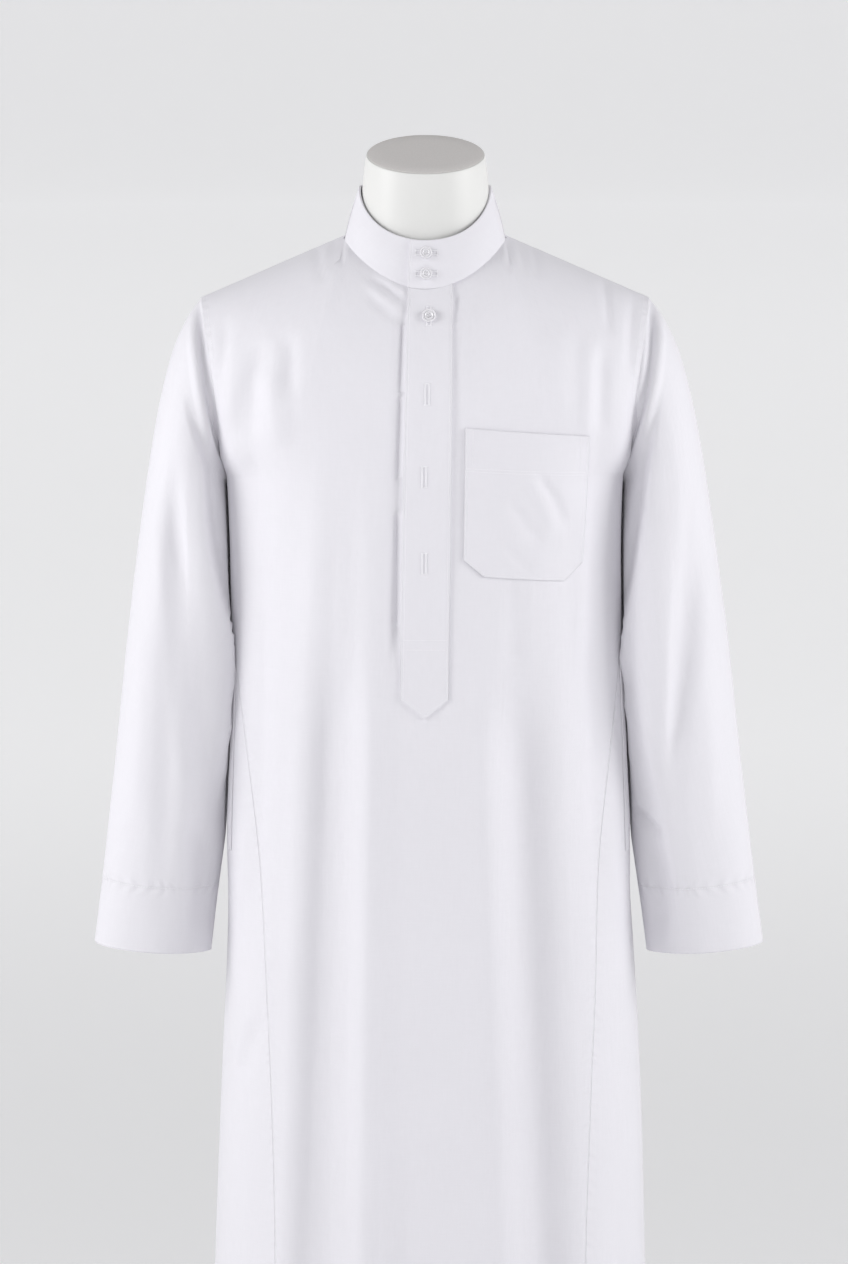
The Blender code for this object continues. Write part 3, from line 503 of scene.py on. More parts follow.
def outward(grid, facing, ring=False):
    """Direction out of the cloth at each grid point."""
    if ring:
        grid = np.concatenate([grid[:, -1:], grid, grid[:, :1]], axis=1)
    normals = np.cross(np.gradient(grid, axis=1), np.gradient(grid, axis=0)) * facing
    normals /= np.linalg.norm(normals, axis=2, keepdims=True) + 1e-12
    return normals[:, 1:-1] if ring else normals


def crease_rise(across, up, crease):
    """How far one crease lifts the cloth at each place of the front view."""
    path = spline(crease.path, 4 * len(crease.path))
    steps = np.diff(path, axis=0)
    runs = line_run(path)
    nearest, place = np.full(across.shape, np.inf), np.zeros(across.shape)
    for start, step, run in zip(path, steps, runs):
        length = math.hypot(*step)
        from_x, from_z = across - start[0], up - start[1]
        share = np.clip((from_x * step[0] + from_z * step[1]) / length ** 2, 0.0, 1.0)
        distance = np.hypot(from_x - share * step[0], from_z - share * step[1])
        closer = distance < nearest
        nearest = np.where(closer, distance, nearest)
        place = np.where(closer, (run + share * length) / runs[-1], place)
    across_fade = 0.5 + 0.5 * np.cos(np.pi * np.clip(nearest / crease.width, 0.0, 1.0))
    ends = np.clip(place / CREASE_END, 0, 1) * np.clip((1.0 - place) / CREASE_END, 0, 1)
    return crease.rise * across_fade * eased(ends)


def add_creases(grid, normals, creases):
    """Move a sheet out and in along its creases, each on the face that it belongs to."""
    total = np.zeros(grid.shape[:2])
    for crease in creases:
        toward = normals[..., 1] * (-1.0 if crease.face == "front" else 1.0)
        facing = np.clip(toward * CREASE_TURN + CREASE_SIDE, 0.0, 1.0)
        total += crease_rise(grid[..., 0], grid[..., 2], crease) * facing
    return grid + normals * total[..., None]


def meet(*edges):
    """The same seam's edges in several sheets, moved to their middle."""
    middle = sum(edge.copy() for edge in edges) / len(edges)
    for edge in edges:
        edge[:] = middle


# ---- materials ----
class Number:
    """A number running through a material, so that its sums read as sums."""

    def __init__(self, finish, socket):
        self.finish, self.socket = finish, socket

    def maths(self, kind, *values):
        return self.finish.node("Math", {"operation": kind}, dict(enumerate(values)))

    def __add__(self, other):
        return self.maths("ADD", self, other)

    def __sub__(self, other):
        return self.maths("SUBTRACT", self, other)

    def __rsub__(self, other):
        return self.maths("SUBTRACT", other, self)

    def __mul__(self, other):
        return self.maths("MULTIPLY", self, other)

    def __truediv__(self, other):
        return self.maths("DIVIDE", self, other)

    __radd__, __rmul__ = __add__, __mul__

    def wave(self, period):
        """A wave from -1 to 1 with one crest to each period."""
        turns = self * (2 * math.pi / period)
        return turns.maths("SINE", turns)

    def size(self):
        return self.maths("ABSOLUTE", self)


class Finish:
    """One material and its nodes."""

    def __init__(self, name, colour, roughness, **uniform):
        self.material = bpy.data.materials.new(name)
        self.material.use_nodes = True
        self.tree = self.material.node_tree
        self.shader = self.tree.nodes["Principled BSDF"]
        self.shader.inputs["Base Color"].default_value = (*colour, 1.0)
        self.shader.inputs["Roughness"].default_value = roughness
        for socket, value in uniform.items():
            self.shader.inputs[socket.replace("_", " ")].default_value = value

    def node(self, kind, settings=(), sockets=(), output=0):
        made = self.tree.nodes.new("ShaderNode" + kind)
        for name, value in dict(settings).items():
            setattr(made, name, value)
        for name, value in dict(sockets).items():
            if isinstance(value, Number):
                self.tree.links.new(value.socket, made.inputs[name])
            else:
                made.inputs[name].default_value = value
        return Number(self, made.outputs[output])

    def mix(self, share, first, second):
        """A colour between two, by share."""
        made = self.tree.nodes.new("ShaderNodeMix")
        made.data_type = "RGBA"
        for place, value in ((0, share), (6, first), (7, second)):
            if isinstance(value, Number):
                self.tree.links.new(value.socket, made.inputs[place])
            else:
                made.inputs[place].default_value = value if place == 0 else (*value, 1.0)
        return Number(self, made.outputs[2])

    def fade(self, value, low=0.0, high=1.0):
        """value taken smoothly from 0 at low to 1 at high."""
        return self.node("MapRange", {"interpolation_type": "SMOOTHSTEP"},
                         {0: value, 1: low, 2: high, 3: 0.0, 4: 1.0})

    def place(self, scale=(1.0, 1.0, 1.0), uv=None):
        """Where on the piece a point is: in its UV map, or else in its own coordinates."""
        start = self.node("UVMap", {"uv_map": uv}) if uv else self.node("TexCoord", output="Object")
        return self.node("Mapping", {}, {"Vector": start, "Scale": scale})

    def noise(self, vector, scale, detail=2.0, rough=0.5):
        return self.node("TexNoise", {}, {"Vector": vector, "Scale": scale, "Detail": detail,
                                          "Roughness": rough})

    def attribute(self, name):
        return self.node("Attribute", {"attribute_name": name}, output="Fac")

    def axis(self, vector, name):
        return self.node("SeparateXYZ", {}, {0: vector}, output=name)

    def feed(self, socket, value):
        self.tree.links.new(value.socket, self.shader.inputs[socket])

    def relief(self, height):
        """height, in metres, as a bump on the surface."""
        self.feed("Normal", self.node("Bump", {}, {"Strength": 1.0, "Distance": 1.0, "Height": height},
                                      output="Normal"))


CLOTH_WHITE = (0.80, 0.788, 0.829)
THREAD_PITCH = 0.00055


def toned(share):
    return tuple(min(part * share, 1.0) for part in CLOTH_WHITE)


def cloth_finish(name, puckers, edges, grooves):
    """Fine white cotton weave with what its seams do to it.

    Puckers are (attribute, place, reach, pitch, depth), edges (attribute, reach, drop) where the
    cloth rolls over, grooves (attribute, place, width, depth) where stitches pull it in.
    """
    finish = Finish(name, CLOTH_WHITE, 0.62, Sheen_Weight=0.25, Sheen_Roughness=0.4,
                    Specular_IOR_Level=0.35)
    cloth = finish.place(uv="cloth")
    across, along = finish.axis(cloth, "X"), finish.axis(cloth, "Y")
    threads = across.wave(THREAD_PITCH) * along.wave(THREAD_PITCH)
    slub = finish.noise(finish.place((1.0, 0.06, 1.0), uv="cloth"), 900.0, 3.0)
    cross_slub = finish.noise(finish.place((0.06, 1.0, 1.0), uv="cloth"), 900.0, 3.0)
    soft = finish.noise(cloth, 22.0, 3.0, 0.55)
    hang = finish.noise(finish.place((1.0, 0.10, 1.0), uv="cloth"), 85.0, 3.0, 0.5)
    height = threads * 0.000012 + slub * 0.00005 + cross_slub * 0.00005 + soft * 0.0009 + hang * 0.00035
    for attribute, reach, drop in edges:
        roll = finish.fade(1.0 - finish.attribute(attribute) / reach)
        height = height - roll * roll * drop
    for attribute, place, width, depth in grooves:
        off = (finish.attribute(attribute) - place) / width
        height = height - finish.fade(1.0 - off * off) * depth
    for attribute, place, reach, pitch, depth in puckers:
        away = (finish.attribute(attribute) - place).size()
        drift = finish.noise(finish.place((8.0, 14.0, 1.0), uv="cloth"), 3.0, 1.0)
        run = along if attribute == "seam" else across
        wave = (run + drift * 0.02 + away * 0.35).wave(pitch)
        height = height + wave * finish.fade(1.0 - away / reach) * depth
    finish.relief(height)
    tone = finish.noise(cloth, 6.0, 2.0)
    shade = finish.mix(tone, toned(0.975), toned(1.02))
    yarn = finish.fade(slub * 0.5 + cross_slub * 0.5, 0.35, 0.65)
    finish.feed("Base Color", finish.mix(yarn * 0.22, shade, toned(0.93)))
    finish.feed("Roughness", slub * 0.16 + 0.54)
    return finish.material


# ---- sheets of cloth ----
def run_lengths(points, axis):
    """Length along the cloth to each grid point, down one axis of the grid."""
    steps = np.linalg.norm(np.diff(points, axis=axis), axis=2)
    start = np.zeros_like(np.take(steps, [0], axis=axis))
    return np.cumsum(np.concatenate([start, steps], axis=axis), axis=axis)


def edge_marks(grid):
    """Distance of each point from the side edges, the foot and the head of its sheet."""
    across, along = run_lengths(grid, 1), run_lengths(grid, 0)
    return {"seam": np.minimum(across, across[:, -1:] - across), "hem": along,
            "head": along[-1:] - along}


def grid_cells(count, columns):
    """Row and column of the four corners of every cell of a grid."""
    low, first = np.indices((count - 1, columns)).reshape(2, -1, 1)
    return low + (0, 0, 1, 1), first + (0, 1, 1, 0)


def sheet_tree(grid):
    """A grid of points as a surface to cast rays at."""
    count, width = grid.shape[:2]
    rows, columns = grid_cells(count, width - 1)
    return BVHTree.FromPolygons(grid.reshape(-1, 3).tolist(), (rows * width + columns).tolist())


def select(piece):
    bpy.ops.object.select_all(action="DESELECT")
    bpy.context.view_layer.objects.active = piece
    piece.select_set(True)


def use_modifier(piece, kind, **settings):
    select(piece)
    made = piece.modifiers.new(kind.lower(), kind)
    for name, value in settings.items():
        setattr(made, name, value)
    bpy.ops.object.modifier_apply(modifier=made.name)


def linked(name, data):
    """A new object in the scene for a mesh, a light or a camera."""
    made = bpy.data.objects.new(name, data)
    bpy.context.collection.objects.link(made)
    return made


def on_body(piece):
    """Fix a piece to the one body."""
    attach(piece, "root")
    return piece


pieces = {}


def cloth_piece(key, grid, wall, material, facing=1, ring=False):
    """A grid of points made into a sheet with a wall, the cloth's own lengths as its UV map.

    A ring is closed round on itself, and its hem is its last row.
    """
    count, width = grid.shape[:2]
    rows, columns = grid_cells(count, width if ring else width - 1)
    if facing < 0:
        rows, columns = rows[:, ::-1], columns[:, ::-1]
    mesh = bpy.data.meshes.new("thobe_" + key)
    mesh.from_pydata(grid.reshape(-1, 3).tolist(), [], (rows * width + columns % width).tolist())
    wide = np.concatenate([grid, grid[:, :1]], axis=1) if ring else grid
    across, along = run_lengths(wide, 1), run_lengths(grid, 0).mean(axis=1)
    across = across - across[:, width // 2:width // 2 + 1]
    places = np.stack([across[rows, columns], along[rows]], axis=2)
    mesh.uv_layers.new(name="cloth").data.foreach_set("uv", places.ravel())
    marks = {"hem": edge_marks(grid)["head"]} if ring else edge_marks(grid)
    for mark, numbers in marks.items():
        layer = mesh.attributes.new(mark, "FLOAT", "POINT")
        layer.data.foreach_set("value", np.ascontiguousarray(numbers, dtype=np.float32).ravel())
    mesh.shade_smooth()
    mesh.materials.append(material)
    piece = linked("thobe_" + key, mesh)
    use_modifier(piece, "SOLIDIFY", thickness=wall, offset=-1.0)
    bpy.ops.object.shade_smooth_by_angle(angle=SHEET_EDGE)
    piece.select_set(False)
    pieces[key] = on_body(piece)


# ---- the cloth itself ----
BODY_CREASES = on_face("front", (
    # the dip beside the placket, uneven in depth
    (((-19.5, 1480), (-21.5, 1440), (-23.5, 1385)), 7, -4),
    (((-22, 1415), (-24.5, 1345), (-26.2, 1285)), 7.8, -4.8),
    (((-25, 1315), (-27.2, 1230), (-29, 1130)), 8.2, -5.8),
    (((29, 1460), (28.5, 1340), (26, 1180)), 5, -0.8),
    # drag lines under the collar
    (((-54, 1500), (-36, 1488.5), (-17.5, 1474)), 4.6, -2.2),
    (((-60, 1494.5), (-38, 1479), (-18, 1464)), 6.2, 2.2),
    (((-60, 1484), (-38, 1468), (-19, 1452)), 7.5, -1.4),
    (((-38, 1496), (-18, 1482.5)), 3.6, 1.2),
    (((31, 1486), (29, 1474), (27.5, 1455)), 4.2, -2),
    (((46, 1486), (40, 1440), (34, 1395)), 6.2, 1.4),
    # gathers where the shoulder meets the collar
    (((-79.5, 1545), (-79, 1528), (-80, 1505)), 6.2, -2.2),
    (((-89.5, 1541), (-87.5, 1522), (-86, 1500)), 6.6, -1.8),
    (((-105, 1530), (-101, 1514), (-96, 1490)), 8, -1.5),
    (((78.5, 1545), (80, 1524), (81, 1500)), 6.2, -2.2),
    (((90.5, 1540), (92.5, 1519), (94.5, 1498)), 6.2, -1.9),
    (((101, 1530), (104, 1513), (106.5, 1494)), 6.6, -1.5),
    # the turn from the front to the side, ahead of the sleeves
    (((-189, 1450), (-181.5, 1300), (-178, 1235), (-175, 1160), (-176.5, 1060), (-180, 950),
      (-184, 800)), 26, 13.5),
    (((190, 1450), (183.5, 1300), (181, 1235), (179, 1160), (181.5, 1060), (185, 950),
      (190, 800)), 26, 13.5),
    # chest
    (((-147, 1445), (-162, 1398), (-176, 1330)), 21, -4.6),
    (((-148, 1425), (-142, 1385), (-136, 1330)), 20, 3.4),
    (((-132, 1452), (-127, 1420), (-131, 1380)), 15, -3),
    (((-186, 1462), (-190, 1430), (-192, 1385)), 9, -2),
    (((164, 1440), (164, 1395), (161, 1345)), 13, -2.6),
    (((155, 1452), (155, 1400), (153, 1335)), 15, 2.8),
    (((170, 1500), (173, 1470), (174, 1440)), 6.5, -2),
    (((199, 1484), (196, 1450), (190, 1395)), 8.5, -2.6),
    (((120, 1460), (122, 1420), (119, 1370)), 24, 1.8),
    # over and under the chest pocket
    (((92, 1318), (110, 1290), (122, 1256)), 11, 2.8),
    (((100, 1319), (119, 1292), (133, 1262)), 10, -2.8),
    (((74, 1296), (92, 1272), (113, 1244)), 12, -2.2),
    (((72, 1252), (86, 1236), (104, 1222)), 9, -1.6),
    (((26, 1230), (27, 1140), (32, 1040)), 16, 1.8),
    (((82, 1230), (83, 1190), (84, 1120)), 18, -2.6),
    (((150, 1300), (152, 1210), (150, 1120)), 18, 2.6),
    # side gores
    (((-154, 800), (-168, 764), (-182, 716)), 9, -3.4),
    (((-161, 806), (-175, 772), (-188, 730)), 10, 2.2),
    (((-180, 560), (-188, 380), (-196, 110)), 22, -5),
    (((188, 700), (196, 450), (202, 110)), 20, -5),
    # skirt
    (((-20, 760), (-24, 460), (-26, 90)), 26, -3),
    (((24, 620), (28, 380), (30, 90)), 24, 2.6),
)) + on_face("back", (
    (((-148, 1450), (-160, 1400), (-174, 1335)), 20, -4.4),
    (((-140, 1430), (-138, 1385), (-132, 1320)), 20, 3),
    (((152, 1446), (163, 1398), (176, 1340)), 19, -4),
    (((138, 1440), (134, 1380), (130, 1310)), 22, 3.2),
    (((-70, 1400), (-78, 1300), (-84, 1180)), 22, 3.2),
    (((-26, 1420), (-30, 1300), (-34, 1160)), 20, -3),
    (((30, 1390), (32, 1290), (38, 1150)), 22, 2.8),
    (((82, 1410), (86, 1310), (92, 1190)), 20, -3.4),
    (((-60, 1536), (-72, 1512), (-88, 1490)), 7, -2.4),
    (((56, 1538), (70, 1514), (90, 1492)), 7, -2.2),
    (((-12, 1530), (-14, 1505), (-18, 1470)), 10, -1.6),
    (((-118, 1180), (-128, 760), (-140, 60)), 34, -8.5),
    (((-70, 1120), (-74, 700), (-78, 50)), 26, 4.6),
    (((-24, 1100), (-20, 640), (-14, 40)), 30, -5.2),
    (((30, 1040), (38, 620), (44, 50)), 24, 4),
    (((86, 1190), (98, 720), (112, 60)), 36, -8),
    (((138, 1080), (148, 660), (158, 60)), 24, 4),
    (((-172, 860), (-186, 640), (-196, 180)), 22, -5),
    (((176, 900), (188, 600), (198, 150)), 22, -4.6),
))
SLEEVE_CREASES = {
    -1: on_face("front", (
        (((-246, 1330), (-228, 1184), (-223, 1098), (-213, 985)), 22, -7.5),
        (((-214, 1262), (-203, 1155), (-197, 1078), (-194, 980)), 18, 4.8),
        (((-226, 990), (-212, 930), (-214, 845)), 20, -4),
        (((-210.5, 1490), (-212.5, 1446), (-206.5, 1399), (-198.5, 1356), (-190, 1322),
          (-184, 1285)), 6.5, -4.6),
        (((-219.5, 1480), (-220.5, 1440), (-214.5, 1395), (-206.5, 1352), (-198.5, 1315)), 8, 3),
        (((-268, 1190), (-272, 1080), (-276, 960)), 24, 3),
    )) + on_face("back", (
        (((-232, 1400), (-214, 1320), (-200, 1230)), 18, -8.5),
        (((-250, 1340), (-240, 1190), (-236, 1020)), 22, -6.5),
        (((-222, 1250), (-212, 1130), (-214, 980)), 20, 5),
        (((-272, 1200), (-284, 1060), (-290, 930)), 22, -4),
    )),
    1: on_face("front", (
        (((238, 1350), (229, 1232), (223, 1146), (219, 1059), (211, 978)), 21, 6),
        (((256, 1270), (248, 1146), (239, 1059), (230, 978)), 20, -4.8),
        (((196, 989), (212, 975), (230, 958)), 9, -4),
        (((200, 1000), (214, 988), (228, 974)), 9, 2.2),
        (((214, 965), (224, 915), (222, 845)), 20, -4.2),
        (((211.5, 1490), (215.5, 1446), (211, 1405), (203, 1372), (194, 1340), (185, 1310)), 6.2, -4.6),
        (((220, 1480), (223.5, 1440), (218.5, 1400), (210.5, 1365), (202, 1330)), 8, 3),
        (((282, 1170), (290, 1060), (296, 950)), 22, -2.6),
    )) + on_face("back", (
        (((236, 1400), (218, 1320), (203, 1220)), 18, -8),
        (((256, 1330), (246, 1190), (238, 1040)), 21, -6),
        (((228, 1260), (218, 1120), (216, 990)), 20, 5),
        (((278, 1220), (286, 1080), (296, 930)), 22, 4.2),
    )),
}
# height and how far, for the swing in toward the body
PRESS_ROWS = ((1.330, 0.0), (1.290, 0.008), (1.250, 0.012), (1.180, 0.014), (1.120, 0.011), (1.050, 0.004),
              (0.985, 0.0))
FOLD_EDGES = {      # height and distance from the middle of the sleeve's long front fold
    -1: ((1.390, 0.2330), (1.366, 0.2272), (1.321, 0.2119), (1.275, 0.2079), (1.236, 0.2030),
         (1.202, 0.1951), (1.135, 0.1773)),
    1: ((1.390, 0.2265), (1.364, 0.2227), (1.313, 0.2132), (1.260, 0.2058), (1.207, 0.1977),
        (1.143, 0.1858)),
}
# height and how far, for the step of the long front fold and the lean of the cloth behind it
FOLD_DEPTHS = ((1.395, 0.0), (1.350, 0.004), (1.290, 0.013), (1.200, 0.016), (1.140, 0.012), (1.100, 0.0))
LEAN_BACK = ((1.430, 0.0), (1.370, 0.003), (1.300, 0.013), (1.200, 0.018), (1.100, 0.017), (0.950, 0.010),
             (0.835, 0.004))
EDGE_SOFT = 0.0035          # over how much the cloth turns at the folded edge
EDGE_SOFTER = 1.4           # how much softer that turn is near the armhole, from these heights up
SOFT_FROM, SOFT_RUN = 1.27, 0.10
FLAP_REACH = 0.026          # how far out from the folded edge the cloth is drawn forward
FLAP_FALL = 0.10            # how much the drawn cloth still falls back toward its edge
FLAP_SHARE = 0.30           # how far the cloth is drawn, 1 being right out to the flap
FULL_FOLD = 0.012           # depth from which on a fold draws its flap fully
FRONT_FROM = 0.35           # how far round to the side the fold still counts as the sleeve's front
SWING_TURN = 1.6            # how fast the swing fades where the sleeve turns away from the body
SLEEVE_CLEAR = 0.0026       # from the body's cloth, with the pocket lips that lie on it, to a sleeve
ARMHOLE_FREE = 0.004        # below the underarm, where the sleeve's seam may touch the body
AHEAD, ASIDE = 1.0, 0.5     # where the rays at the front and at the sides start


def by_height(rows, heights):
    """Values at many heights, on straight lines through (height, value) rows listed from the top."""
    levels, values = zip(*reversed(rows))
    return np.interp(heights, levels, values)


def swing_in(grid, normals, side):
    """Swing the inner side of a sleeve in toward the side of the body."""
    facing = np.clip(-normals[..., 0] * side * SWING_TURN, 0.0, 1.0)
    swung = grid.copy()
    swung[..., 0] -= side * by_height(PRESS_ROWS, grid[..., 2]) * facing
    return swung


def set_back(grid, side):
    """Lean the inner part of a sleeve's front back, and fold its cloth over itself down one edge."""
    x, y, z = np.moveaxis(grid, 2, 0)
    low, high = grid.min(axis=1)[:, None, :], grid.max(axis=1)[:, None, :]
    middle, half = (low[..., 1] + high[..., 1]) / 2, (high[..., 1] - low[..., 1]) / 2
    ahead = eased((middle - y) / half + FRONT_FROM)
    inner, outer = (low[..., 0], high[..., 0]) if side > 0 else (high[..., 0], low[..., 0])
    lean = by_height(LEAN_BACK, z) * eased((x - outer) / (inner - outer) * 2 - 1)
    depth = by_height(FOLD_DEPTHS, z)
    inside = by_height(FOLD_EDGES[side], z) - side * x
    flap = low[..., 1] + FLAP_FALL * (FLAP_REACH + inside)
    drawn = np.minimum(y, flap) - y
    over = FLAP_SHARE * drawn * eased(depth / FULL_FOLD) * eased((inside + FLAP_REACH) / FLAP_REACH)
    turn = eased(inside / (EDGE_SOFT * (1.0 + EDGE_SOFTER * eased((z - SOFT_FROM) / SOFT_RUN))))
    moved = grid.copy()
    moved[..., 1] += (lean + over * (1 - turn) + depth * turn) * ahead
    return moved


def keep_clear(grid, side, sheets):
    """Move what would touch the side of the body out until it is just clear of the cloth there."""
    trees = [sheet_tree(sheet) for sheet in sheets]
    clear_of = grid.copy()
    for k, j in np.ndindex(grid.shape[:2]):
        x, y, z = grid[k, j]
        if k == 0 or z > UNDERARM_HEIGHT - ARMHOLE_FREE:
            continue
        start, toward = Vector((side * ASIDE, y, z)), Vector((-side, 0, 0))
        hits = [tree.ray_cast(start, toward)[0] for tree in trees]
        reach = max((side * hit.x for hit in hits if hit is not None), default=0.0)
        clear_of[k, j, 0] = side * max(side * x, reach + SLEEVE_CLEAR)
    return clear_of


front, back = panel_grid("front"), panel_grid("back")
gores = {side: gore_grid(side, front, back) for side in (-1, 1)}
front = add_creases(front, outward(front, 1), BODY_CREASES)
back = add_creases(back, outward(back, -1), BODY_CREASES)
for side in (-1, 1):
    gores[side] = add_creases(gores[side], outward(gores[side], side), BODY_CREASES)
    edge = 0 if side < 0 else -1
    meet(front[:SKIRT_ROWS + 1, edge], gores[side][:, 0])
    meet(back[:SKIRT_ROWS + 1, edge], gores[side][:, -1])
meet(*(sheet[-1][np.abs(sheet[-1, :, 0]) >= NECK_HALF - TINY] for sheet in (front, back)))
sleeves = {side: sleeve_grid(side, armhole_loop(side, front, back, gores[side])) for side in (-1, 1)}
for side in (-1, 1):
    normals = outward(sleeves[side], side, ring=True)
    sleeves[side] = add_creases(sleeves[side], normals, SLEEVE_CREASES[side])
    sleeves[side] = set_back(swing_in(sleeves[side], normals, side), side)
    sleeves[side] = keep_clear(sleeves[side], side, (front, back, gores[side]))
    sleeves[side][0] = armhole_loop(side, front, back, gores[side])
collar = collar_grid(front, back)

HEM_DEPTH, CUFF_DEPTH = 0.030, 0.0655
SEAM_LINES = (0.0013, 0.0062)    # the two rows of stitches beside a seam
HEM_ROWS, CUFF_ROWS = 12, 30     # rows of a sheet that reach past its hem's line
body_cloth = cloth_finish("body_cloth", (("seam", 0.0, 0.013, 0.0125, 0.00020),
                                         ("hem", HEM_DEPTH, 0.012, 0.016, 0.00015)),
                          (("seam", 0.0017, 0.00055), ("hem", 0.0015, 0.0004)),
                          (("hem", HEM_DEPTH, 0.0012, 0.00020),))
sleeve_cloth = cloth_finish("sleeve_cloth", (("hem", CUFF_DEPTH, 0.013, 0.0135, 0.00050),),
                            (("hem", 0.0015, 0.0004),), (("hem", CUFF_DEPTH, 0.0013, 0.00028),))
stiff_cloth = cloth_finish("stiff_cloth", (), (("seam", 0.0013, 0.00055), ("head", 0.0012, 0.0003)),
                           (("seam", 0.0026, 0.0007, 0.00012),))
cloth_piece("front", front, CLOTH_WALL, body_cloth)
cloth_piece("back", back, CLOTH_WALL, body_cloth, -1)
for side, word in SIDES:
    cloth_piece("gore_" + word, gores[side], CLOTH_WALL, body_cloth, side)
    cloth_piece("sleeve_" + word, sleeves[side], CLOTH_WALL, sleeve_cloth, side, ring=True)
cloth_piece("collar", collar, COLLAR_WALL, stiff_cloth, -1)


# ---- placket and pocket, laid on the finished front ----
front_tree = sheet_tree(front)


def on_front(x, height, tree=None):
    """Point and outward direction of the front, or of what lies on it, seen from ahead."""
    point, normal = (tree or front_tree).ray_cast(Vector((x, -AHEAD, height)), Vector((0, 1, 0)))[:2]
    if point is None:
        raise ValueError(f"the front isn't at {x}, {height}")
    return point, -normal if normal.y > 0 else normal


def laid_grid(places, off):
    """A grid of (x, height) places laid on the front and lifted off it."""
    return np.array([[point + out * off for point, out in (on_front(x, z) for x, z in row)]
                     for row in places])


def neck_height(x):
    line = sorted((point[0], point[2]) for point in front[-1] if abs(point[0]) < NECK_HALF)
    return float(np.interp(x, [p[0] for p in line], [p[1] for p in line]))


def placket_places(rows=110, columns=14):
    places = []
    for k in range(rows + 1):
        row = []
        for j in range(columns + 1):
            share = j / columns
            foot = blend(PLACKET_POINT_HEIGHT, PLACKET_FOOT_HEIGHT, abs(2 * share - 1))
            top_x = blend(*PLACKET_TOP, share)
            head = neck_height(top_x) - PLACKET_HEAD_GAP
            z = blend(foot, head, k / rows)
            row.append((blend(placket_x(-1, z), placket_x(1, z), share), z))
        places.append(row)
    return places


placket = laid_grid(placket_places(), PLACKET_GAP + STRIP_WALL)
cloth_piece("placket", placket, STRIP_WALL, stiff_cloth)

PocketRow = namedtuple("PocketRow", "left_x left_z right_x right_z")
POCKET_ROWS = [PocketRow(*row) for row in (
    (0.0543, 1.2206, 0.1315, 1.2136),
    (0.0356, 1.2366, 0.1485, 1.2300),
    (0.0362, 1.2760, 0.1508, 1.2690),
    (0.0367, 1.3150, 0.1528, 1.3080),
    (0.0370, 1.3400, 0.1538, 1.3320),
    (0.0373, 1.3601, 0.1545, 1.3500),
)]


def pocket_places(columns=34):
    levels = []
    for low, high in zip(POCKET_ROWS, POCKET_ROWS[1:]):
        steps = max(round((high.left_z - low.left_z) / 0.0035), 3)
        levels += [PocketRow(*(blend(a, b, k / steps) for a, b in zip(low, high))) for k in range(steps)]
    return [[(blend(level.left_x, level.right_x, share), blend(level.left_z, level.right_z, share))
             for share in np.arange(columns + 1) / columns] for level in levels + POCKET_ROWS[-1:]]


pocket = laid_grid(pocket_places(), POCKET_GAP + CLOTH_WALL)
cloth_piece("pocket", pocket, CLOTH_WALL, stiff_cloth)


# ---- lines to sew along ----
def inset_line(grid, normals, edge, distance, ring=False):
    """Points and directions at one distance in from a side edge, the foot or the head."""
    if edge in ("foot", "head"):
        grid, normals = grid.swapaxes(0, 1), normals.swapaxes(0, 1)
        edge = "first" if edge == "foot" else "last"
    if edge == "last":
        grid, normals = grid[:, ::-1], normals[:, ::-1]
    points, outs = [], []
    for row, out, inset in zip(grid, normals, np.broadcast_to(distance, len(grid))):
        points.append(at_run(inset, line_run(row), row))
        outs.append(at_run(inset, line_run(row), out))
    if ring:
        points, outs = points + points[:1], outs + outs[:1]
    return np.array(points), np.array(outs)


def laid_line(places, tree, step=0.0015):
    """A line of (x, height) places laid on a sheet, with the directions out of it."""
    points, outs = [], []
    for start, end in zip(places, places[1:]):
        count = max(int(math.dist(start, end) / step), 1)
        for k in range(count):
            point, out = on_front(blend(start[0], end[0], k / count),
                                  blend(start[1], end[1], k / count), tree)
            points.append(point)
            outs.append(out)
    point, out = on_front(*places[-1], tree)
    return np.array(points + [point]), np.array(outs + [out])


def stitch_model(length, radius, sides=6, rings=4):
    """One stitch lying along X, a small closed spindle."""
    bpy.ops.mesh.primitive_uv_sphere_add(segments=sides, ring_count=rings, radius=1.0)
    model = bpy.context.object
    bpy.ops.transform.rotate(value=math.pi / 2, orient_axis="Y", center_override=(0, 0, 0))
    bpy.ops.object.transform_apply(rotation=True)
    corners = np.array([corner.co for corner in model.data.vertices])
    corners *= (length / 2, radius, radius * 0.8)
    faces = [tuple(face.vertices) for face in model.data.polygons]
    bpy.data.objects.remove(model, do_unlink=True)
    return corners, faces


UNEVEN = 0.00012            # how far a machine stitch strays along its row


class Sewing:
    """All the stitches of one thread, gathered into one piece."""

    def __init__(self, length, radius):
        self.length, self.radius = length, radius
        self.corners, self.faces = stitch_model(length, radius)
        self.points, self.cells = [], []

    def stitch(self, place, along, out, stretch=1.0):
        along, out = Vector(along).normalized(), Vector(out).normalized()
        side = out.cross(along).normalized()
        out = along.cross(side).normalized()
        turn = np.array([along * stretch, side, out])
        start = len(self.points) * len(self.corners)
        self.points.append(self.corners @ turn + np.array(place) + np.array(out) * self.radius * 0.25)
        self.cells += [tuple(corner + start for corner in face) for face in self.faces]

    def row(self, line, pitch=0.0027):
        """A row of stitches along a line of points, a little uneven as a machine leaves them."""
        points, outs = line
        run = line_run(points)
        for k in range(int(run[-1] / pitch)):
            middle = (k + 0.5) * pitch + random.uniform(-UNEVEN, UNEVEN)
            start, place, end = (at_run(middle + step, run, points)
                                 for step in (-self.length / 2, 0.0, self.length / 2))
            self.stitch(place, end - start, at_run(middle, run, outs))

    def piece(self, name):
        mesh = bpy.data.meshes.new(name)
        mesh.from_pydata(np.concatenate(self.points).tolist(), [], self.cells)
        mesh.shade_smooth()
        mesh.materials.append(thread.material)
        return on_body(linked(name, mesh))


